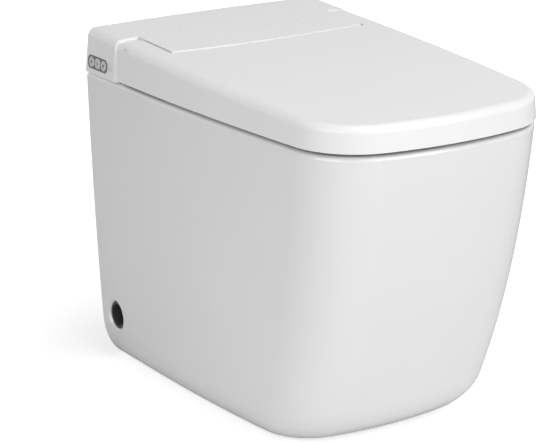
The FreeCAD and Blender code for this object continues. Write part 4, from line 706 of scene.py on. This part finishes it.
# %% [markdown]
# ## Marks on the buttons
#
# Each button carries a small dark mark that tells its use by touch and sight. The marks are plain:
# a short bar for the two wash buttons and a ring for the middle one. Each is a thin plate on the
# button's face. The face leans with the housing's side, so the plate is drawn in the face's own
# directions, which the CAD model gives: the button's joint pushes straight into the face.

# %% Find a button's face
def joint_axis(name):
    """The direction in which a joint slides."""
    axis = next(joint["axis"] for joint in frame["joints"] if joint["name"] == name)
    return Vector(axis).normalized()


INWARD = joint_axis("middle_button_press")
ALONG = Vector((0.0, 1.0, 0.0))
UPWARD = INWARD.cross(ALONG)
FACE_DEPTH = 0.05 * MM


def face_middle(node):
    """The middle of the node's outer face, the face that looks against INWARD."""
    depths = [(vertex.co.dot(INWARD), vertex.co) for vertex in nodes[node].data.vertices]
    outside = min(depth for depth, place in depths)
    face = [place for depth, place in depths if depth < outside + FACE_DEPTH]
    middle = INWARD * outside
    for direction in (ALONG, UPWARD):
        spread = [place.dot(direction) for place in face]
        middle += direction * (min(spread) + max(spread)) * 0.5
    return middle


print("middle button's face:", [round(v, 4) for v in face_middle("button_middle")])

# %% [markdown]
# A plate needs an outline on the face and a little depth. The bar's outline has four quarter
# rounds, and the ring has two round outlines, the second of which is the hole.

# %% Draw the marks
MARK_PROUD = 0.12 * MM
MARK_SINK = 0.1 * MM


def round_bar(half_along, half_up, corner, steps=6):
    """The outline of a bar with round corners."""
    outline = []
    for quarter, (sx, sy) in enumerate(((1, 1), (-1, 1), (-1, -1), (1, -1))):
        for step in range(steps + 1):
            turn = math.radians(90.0) * (quarter + step / steps)
            outline.append((sx * (half_along - corner) + corner * math.cos(turn),
                            sy * (half_up - corner) + corner * math.sin(turn)))
    return outline


def ring_band(outer, inner, steps=32):
    """Two round outlines, the outer and the inner one, of the same number of points."""
    turns = [math.tau * step / steps for step in range(steps)]
    return [[(radius * math.cos(turn), radius * math.sin(turn)) for turn in turns]
            for radius in (outer, inner)]


def mark_plate(name, node, outlines):
    """A thin plate on a button's face; a second outline is a hole in it."""
    middle = face_middle(node)
    shape = bmesh.new()
    loops = []
    for outline in outlines:
        for depth in (-MARK_PROUD, MARK_SINK):
            level = middle + INWARD * depth
            loops.append([shape.verts.new(level + ALONG * a + UPWARD * b) for a, b in outline])
    count = len(outlines[0])
    pairs = [(0, 1)] if len(outlines) == 1 else [(0, 1), (1, 3), (3, 2), (2, 0)]
    for first, second in pairs:
        near, far = loops[first], loops[second]
        for number in range(count):
            after = (number + 1) % count
            shape.faces.new((near[number], near[after], far[after], far[number]))
    if len(outlines) == 1:
        shape.faces.new(loops[0])
        shape.faces.new(loops[1])
    bmesh.ops.recalc_face_normals(shape, faces=shape.faces)
    mesh = bpy.data.meshes.new(name)
    shape.to_mesh(mesh)
    shape.free()
    shade(mesh)
    return bpy.data.objects.new(name, mesh)


WASH_MARK = [round_bar(half_along=1.9 * MM, half_up=2.2 * MM, corner=0.8 * MM)]
STOP_MARK = ring_band(outer=2.1 * MM, inner=1.2 * MM)
MARKS = {"button_rear": WASH_MARK, "button_middle": STOP_MARK, "button_front": WASH_MARK}
for node, outlines in MARKS.items():
    join_piece(mark_plate(node + "_mark", node, outlines), BUTTONS[node], "panel_plastic")
print("marks:", len(MARKS))

# %% [markdown]
# ## Growing pieces with Geometry Nodes
#
# Bolts, buffers, hose rings and the seat's heating wire repeat one small shape, or follow a path.
# Each could be modelled by hand, but a tree of nodes describes the rule once, and its named inputs
# give the sizes. The helpers below make a tree with a geometry input and number inputs, end it, and
# grow a piece: they run the tree on a few points, keep the result as a plain mesh and take the
# modifier off again.

# %% Helpers for grown pieces
def new_tree(name, **sizes):
    """A tree with the given named sizes; returns it with its input and output nodes."""
    tree = bpy.data.node_groups.new(name, "GeometryNodeTree")
    tree.interface.new_socket("Geometry", in_out="OUTPUT", socket_type="NodeSocketGeometry")
    tree.interface.new_socket("Geometry", in_out="INPUT", socket_type="NodeSocketGeometry")
    tree.interface.new_socket("Finish", in_out="INPUT", socket_type="NodeSocketMaterial")
    for label, value in sizes.items():
        socket = tree.interface.new_socket(label.replace("_", " "), in_out="INPUT",
                                           socket_type="NodeSocketFloat")
        socket.default_value = value
    return tree, tree.nodes.new("NodeGroupInput"), tree.nodes.new("NodeGroupOutput")


def lifted(tree, geometry, height):
    """The geometry moved up by height."""
    shift = add(tree, "ShaderNodeCombineXYZ", {"Z": height}).outputs[0]
    return add(tree, "GeometryNodeTransform", {"Geometry": geometry, "Translation": shift}).outputs[0]


def joined(tree, *geometries):
    """Several geometries as one."""
    both = add(tree, "GeometryNodeJoinGeometry")
    for geometry in geometries:
        tree.links.new(geometry, both.inputs[0])
    return both.outputs[0]


def hull_of(tree, *geometries):
    """The convex hull round several geometries."""
    return add(tree, "GeometryNodeConvexHull", {"Geometry": joined(tree, *geometries)}).outputs[0]


def on_points(tree, given, instance, rotation=(0.0, 0.0, 0.0)):
    """One instance on each of the given points."""
    return add(tree, "GeometryNodeInstanceOnPoints",
               {"Points": given.outputs["Geometry"], "Instance": instance, "Rotation": rotation}).outputs[0]


def swept(tree, path, section, caps=False):
    """A round section swept along a path; section holds its corners and its radius."""
    corners, radius = section
    profile = add(tree, "GeometryNodeCurvePrimitiveCircle", {"Resolution": corners, "Radius": radius})
    wires = {"Curve": path, "Profile Curve": profile.outputs[0], "Fill Caps": caps}
    return add(tree, "GeometryNodeCurveToMesh", wires).outputs[0]


def end_tree(tree, given, out, geometry):
    """Realize the instances and set the finish, because a plain mesh has neither otherwise."""
    real = add(tree, "GeometryNodeRealizeInstances", {"Geometry": geometry}).outputs[0]
    smooth = add(tree, "GeometryNodeSetShadeSmooth", {"Geometry": real, "Shade Smooth": True}).outputs[0]
    finish = add(tree, "GeometryNodeSetMaterial", {"Geometry": smooth, "Material": given.outputs["Finish"]})
    tree.links.new(finish.outputs[0], out.inputs[0])


def set_inputs(modifier, slot, sizes):
    """Set the modifier's inputs by their sockets' identifiers."""
    for item in modifier.node_group.interface.items_tree:
        if item.item_type == "SOCKET" and item.in_out == "INPUT":
            if item.name == "Finish":
                modifier[item.identifier] = FINISHES[slot]
            elif item.name in sizes:
                modifier[item.identifier] = float(sizes[item.name])


def grow(name, tree, points, slot, sizes, edges=()):
    """Run a tree on points and keep the result as a plain mesh."""
    mesh = bpy.data.meshes.new(name + "_points")
    mesh.from_pydata([tuple(point) for point in points], list(edges), [])
    piece = bpy.data.objects.new(name, mesh)
    bpy.context.collection.objects.link(piece)
    modifier = piece.modifiers.new("growth", "NODES")
    modifier.node_group = tree
    set_inputs(modifier, slot, sizes)
    ready = piece.evaluated_get(bpy.context.evaluated_depsgraph_get())
    grown = bpy.data.meshes.new_from_object(ready)
    piece.modifiers.remove(modifier)
    piece.data = grown
    grown.name = name
    shade(grown)
    print(name, "has", len(grown.polygons), "faces")
    return piece


print("inputs of every tree but its sizes: Geometry and Finish")

# %% [markdown]
# ## Rubber buffers
#
# Four buffers hold the seat off the china and four hold the lid off the seat. A real buffer is a
# soft puck with a rolled edge. The tree lays one small ring at its foot and one at its top, and
# the convex hull round both is the puck. One instance goes on each point.

# %% A tree for soft pucks
PUCK_STEPS = 32
EDGE_STEPS = 10
BUFFER_REACH = 25.0 * MM


def puck_tree():
    """A puck with a rolled edge at its foot and at its top, on each point."""
    tree, given, out = new_tree("soft_puck", Foot_Radius=0.008, Top_Radius=0.008, Height=0.005, Edge=0.001)
    edge = given.outputs["Edge"]
    top_height = math_node(tree, "SUBTRACT", given.outputs["Height"], edge)
    rings = []
    for radius, height in (("Foot Radius", edge), ("Top Radius", top_height)):
        inner = math_node(tree, "SUBTRACT", given.outputs[radius], edge)
        path = add(tree, "GeometryNodeCurvePrimitiveCircle", {"Resolution": PUCK_STEPS, "Radius": inner})
        rings.append(lifted(tree, swept(tree, path.outputs[0], (EDGE_STEPS, edge)), height))
    end_tree(tree, given, out, on_points(tree, given, hull_of(tree, *rings)))
    return tree


def foot_points(node):
    """The middle of each separate buffer of a node at its foot, and the buffers' height."""
    low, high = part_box(node)
    buffers = []
    for vertex in nodes[node].data.vertices:
        place = vertex.co.xy
        near = [buffer for buffer in buffers if (buffer[0] - place).length < BUFFER_REACH]
        if near:
            near[0].append(place)
        else:
            buffers.append([place])
    middles = []
    for buffer in buffers:
        across = [place.x for place in buffer]
        along = [place.y for place in buffer]
        middles.append(((min(across) + max(across)) * 0.5, (min(along) + max(along)) * 0.5, low.z))
    return middles, high.z - low.z


def make_buffers(name, node, body, top, foot, edge):
    """Soft pucks in the place of a node's buffers."""
    points, height = foot_points(node)
    sizes = {"Foot Radius": foot, "Top Radius": top, "Height": height, "Edge": edge}
    piece = grow(name, soft_puck, points, "buffer_rubber", sizes)
    return join_piece(piece, body, "buffer_rubber", node)


soft_puck = puck_tree()
make_buffers("seat_pucks", "seat_buffers", "seat_unit", top=8.0 * MM, foot=7.0 * MM, edge=1.2 * MM)
make_buffers("lid_pucks", "lid_buffers", "lid_unit", top=6.0 * MM, foot=5.2 * MM, edge=0.9 * MM)

# %% [markdown]
# ## Hexagon bolts
#
# The deck bolts that clamp the seat unit and the bolts in the floor brackets have hexagon heads
# with a chamfered crown. The hull of a short hexagon prism and of a smaller circle above it gives
# that head, and a round shank hangs under it.

# %% A tree for hexagon bolts
ROUND_STEPS = 24
CHAMFER_START = 0.72
CROWN_SHARE = 0.8


def bolt_tree():
    """A bolt on each point: the head stands on the point and the shank hangs under it."""
    tree, given, out = new_tree("hexagon_bolt", Head_Radius=0.008, Head_Height=0.005, Shank_Radius=0.004,
                                Shank_Length=0.02)
    wide, tall = given.outputs["Head Radius"], given.outputs["Head Height"]
    corner_height = math_node(tree, "MULTIPLY", tall, CHAMFER_START)
    prism = add(tree, "GeometryNodeMeshCylinder", {"Vertices": 6, "Radius": wide, "Depth": corner_height})
    prism_up = lifted(tree, prism.outputs["Mesh"], math_node(tree, "MULTIPLY", corner_height, 0.5))
    crown_radius = math_node(tree, "MULTIPLY", wide, CROWN_SHARE)
    crown = add(tree, "GeometryNodeMeshCircle", {"Vertices": ROUND_STEPS, "Radius": crown_radius})
    head = hull_of(tree, prism_up, lifted(tree, crown.outputs[0], tall))
    long = given.outputs["Shank Length"]
    shank = add(tree, "GeometryNodeMeshCylinder",
                {"Vertices": ROUND_STEPS, "Radius": given.outputs["Shank Radius"], "Depth": long})
    shank_down = lifted(tree, shank.outputs["Mesh"], math_node(tree, "MULTIPLY", long, -0.5))
    end_tree(tree, given, out, on_points(tree, given, joined(tree, head, shank_down)))
    return tree


def bolt_points(node, height):
    """A point on each bolt's axis at the given height."""
    low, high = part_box(node)
    reach = (high.y - low.y) * 0.5
    middle = (low.y + high.y) * 0.5
    return [(side, middle, height) for side in (low.x + reach, high.x - reach)]


def make_bolts(name, node, height, head, shank):
    """Bolts on a node's two axes; head and shank each hold a radius and a length."""
    sizes = {"Head Radius": head[0], "Head Height": head[1], "Shank Radius": shank[0],
             "Shank Length": shank[1]}
    return grow(name, hexagon_bolt, bolt_points(node, height), "steel", sizes)


hexagon_bolt = bolt_tree()
print("sizes of a bolt:", [item.name for item in hexagon_bolt.interface.items_tree][3:])

# %% [markdown]
# The CAD nodes give the heights: a deck bolt reaches from its head on the seat unit's plate down to
# its lower end, its nut sits just under the pan's rim, and a floor bolt goes through its bracket.

# %% Place the bolts
BOLT_RADIUS = 4.0 * MM
HEAD_RADIUS = 7.4 * MM
DECK_HEAD_HEIGHT = 5.0 * MM
FLOOR_HEAD_HEIGHT = 4.9 * MM
NUT_RADIUS = 10.4 * MM
NUT_HEIGHT = 9.8 * MM
NUT_GAP = 0.1 * MM
COLLAR_RADIUS = 4.1 * MM
COLLAR_LENGTH = 3.0 * MM

deck_low, deck_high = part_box("deck_bolts")
plate_top = deck_high.z - DECK_HEAD_HEIGHT
deck_heads = make_bolts("deck_bolt_heads", "deck_bolts", plate_top, (HEAD_RADIUS, DECK_HEAD_HEIGHT),
                        (BOLT_RADIUS, plate_top - deck_low.z))
join_piece(deck_heads, "toilet", "steel", "deck_bolts")
nut_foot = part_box("pan_rim")[0].z - NUT_HEIGHT - NUT_GAP
deck_nuts = make_bolts("deck_bolt_nuts", "deck_bolts", nut_foot, (NUT_RADIUS, NUT_HEIGHT),
                       (COLLAR_RADIUS, COLLAR_LENGTH))
join_piece(deck_nuts, "toilet", "steel")
floor_low, floor_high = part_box("floor_bolts")
bracket_top = floor_high.z - FLOOR_HEAD_HEIGHT
floor_bolts = make_bolts("floor_bolt_set", "floor_bolts", bracket_top, (HEAD_RADIUS, FLOOR_HEAD_HEIGHT),
                         (BOLT_RADIUS, bracket_top - floor_low.z))
join_piece(floor_bolts, "toilet", "steel", "floor_bolts")

# %% [markdown]
# ## Ringed hoses and the inlet's thread
#
# The short hoses of the water path are ribbed so that they bend without a kink, and the water
# inlet has a half-inch thread. A ring on each point of a line makes the ribs. The thread is a
# spiral curve with a small pointed section swept along it.

# %% A tree for hose rings
RIB = 0.7 * MM
RIB_PITCH = 2.6 * MM
SECTION_STEPS = 6
ACROSS = (0.0, math.radians(90.0), 0.0)


def ring_tree():
    """A ring on each point, turned to lie across the x axis."""
    tree, given, out = new_tree("hose_rings", Ring_Radius=0.006, Rib=0.0007)
    path = add(tree, "GeometryNodeCurvePrimitiveCircle",
               {"Resolution": ROUND_STEPS, "Radius": given.outputs["Ring Radius"]})
    ring = swept(tree, path.outputs[0], (SECTION_STEPS, given.outputs["Rib"]))
    end_tree(tree, given, out, on_points(tree, given, ring, ACROSS))
    return tree


def ring_hose(name, node):
    """Rings along a hose that lies along x."""
    low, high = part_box(node)
    middle = (low + high) * 0.5
    count = int((high.x - low.x) / RIB_PITCH)
    first = middle.x - (count - 1) * RIB_PITCH * 0.5
    points = [(first + number * RIB_PITCH, middle.y, middle.z) for number in range(count)]
    sizes = {"Ring Radius": (high.z - low.z) * 0.5, "Rib": RIB}
    return join_piece(grow(name, hose_rings, points, "hose_rubber", sizes), "toilet", "hose_rubber")


hose_rings = ring_tree()
ring_hose("supply_hose_rings", "supply_hose")
ring_hose("heater_hose_rings", "heater_hose")

# %% [markdown]
# The thread starts a little above the inlet's lower end and climbs one pitch in each turn.

# %% A tree for the inlet's thread
INLET_RADIUS = 9.8 * MM
THREAD_PITCH = 1.8 * MM
THREAD_LENGTH = 22.0 * MM
THREAD_DEPTH = 0.6 * MM
THREAD_START = 1.0 * MM
TURN_STEPS = 40
THREAD_CORNERS = 4


def thread_tree():
    """A spiral ridge on each point."""
    tree, given, out = new_tree("screw_thread", Radius=0.01, Length=0.022, Pitch=0.0018, Depth=0.0006)
    radius, long = given.outputs["Radius"], given.outputs["Length"]
    turns = math_node(tree, "DIVIDE", long, given.outputs["Pitch"])
    coil = add(tree, "GeometryNodeCurveSpiral",
               {"Resolution": TURN_STEPS, "Rotations": turns, "Start Radius": radius,
                "End Radius": radius, "Height": long})
    ridge = swept(tree, coil.outputs[0], (THREAD_CORNERS, given.outputs["Depth"]), caps=True)
    end_tree(tree, given, out, on_points(tree, given, ridge))
    return tree


inlet_low, inlet_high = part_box("inlet_connector")
inlet_middle = (inlet_low + inlet_high) * 0.5
thread_start = (inlet_middle.x, inlet_middle.y, inlet_low.z + THREAD_START)
inlet_thread = grow("inlet_thread", thread_tree(), [thread_start], "brass_fitting",
                    {"Radius": INLET_RADIUS, "Length": THREAD_LENGTH, "Pitch": THREAD_PITCH,
                     "Depth": THREAD_DEPTH})
join_piece(inlet_thread, "toilet", "brass_fitting")

# %% [markdown]
# ## The seat's heating wire
#
# Under the seat's skin lies a foil, and a thin heating wire runs round it in close waves. The wave
# follows a path, the middle line of the seat's ring, so a tree suits it: it makes a curve from the
# path, moves each point sideways by a sine of how far round it is, and sweeps a round section
# along it.

# %% A tree for the wire
WIRE_RADIUS = 0.45 * MM
WIRE_WAVES = 64
WIRE_SWING = 15.0 * MM
WIRE_POINTS = 1600
PATH_POINTS = 48
BOWL_MIDDLE = WALL_Y - 395.0 * MM
BOWL_HALF_LENGTH = 146.0 * MM
BOWL_HALF_WIDTH = 108.0 * MM
UP = (0.0, 0.0, 1.0)


def wire_tree():
    """A round wire that swings from side to side of the path that it is given."""
    tree, given, out = new_tree("waving_wire", Swing=0.015, Waves=60.0, Wire_Radius=0.0005)
    line = add(tree, "GeometryNodeMeshToCurve", {"Mesh": given.outputs["Geometry"]})
    fine = add(tree, "GeometryNodeResampleCurve", {"Curve": line.outputs[0], "Count": WIRE_POINTS})
    share = add(tree, "GeometryNodeSplineParameter").outputs["Factor"]
    turns = math_node(tree, "MULTIPLY", share, given.outputs["Waves"])
    wave = math_node(tree, "SINE", math_node(tree, "MULTIPLY", turns, math.tau))
    swing = math_node(tree, "MULTIPLY", wave, given.outputs["Swing"])
    ahead = add(tree, "GeometryNodeInputTangent").outputs[0]
    sideways = add(tree, "ShaderNodeVectorMath", {0: ahead, 1: UP}, operation="CROSS_PRODUCT")
    offset = add(tree, "ShaderNodeVectorMath", {0: sideways.outputs[0], "Scale": swing}, operation="SCALE")
    waved = add(tree, "GeometryNodeSetPosition", {"Geometry": fine.outputs[0], "Offset": offset.outputs[0]})
    strand = swept(tree, waved.outputs[0], (SECTION_STEPS, given.outputs["Wire Radius"]))
    end_tree(tree, given, out, strand)
    return tree


def ring_path():
    """The middle line of the seat's ring, closed, just under the foil."""
    low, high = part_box("seat_heater")
    rear = (high.y + BOWL_MIDDLE + BOWL_HALF_LENGTH) * 0.5
    front = (low.y + BOWL_MIDDLE - BOWL_HALF_LENGTH) * 0.5
    half = (high.x + BOWL_HALF_WIDTH) * 0.5
    middle, long = (rear + front) * 0.5, (rear - front) * 0.5
    turns = [math.tau * number / PATH_POINTS for number in range(PATH_POINTS)]
    return [(half * math.cos(turn), middle + long * math.sin(turn), low.z - WIRE_RADIUS) for turn in turns]


closed_path = [(number, (number + 1) % PATH_POINTS) for number in range(PATH_POINTS)]
heating_wire = grow("heating_wire", wire_tree(), ring_path(), "heater_foil",
                    {"Swing": WIRE_SWING, "Waves": WIRE_WAVES, "Wire Radius": WIRE_RADIUS}, closed_path)
join_piece(heating_wire, "seat_unit", "heater_foil")
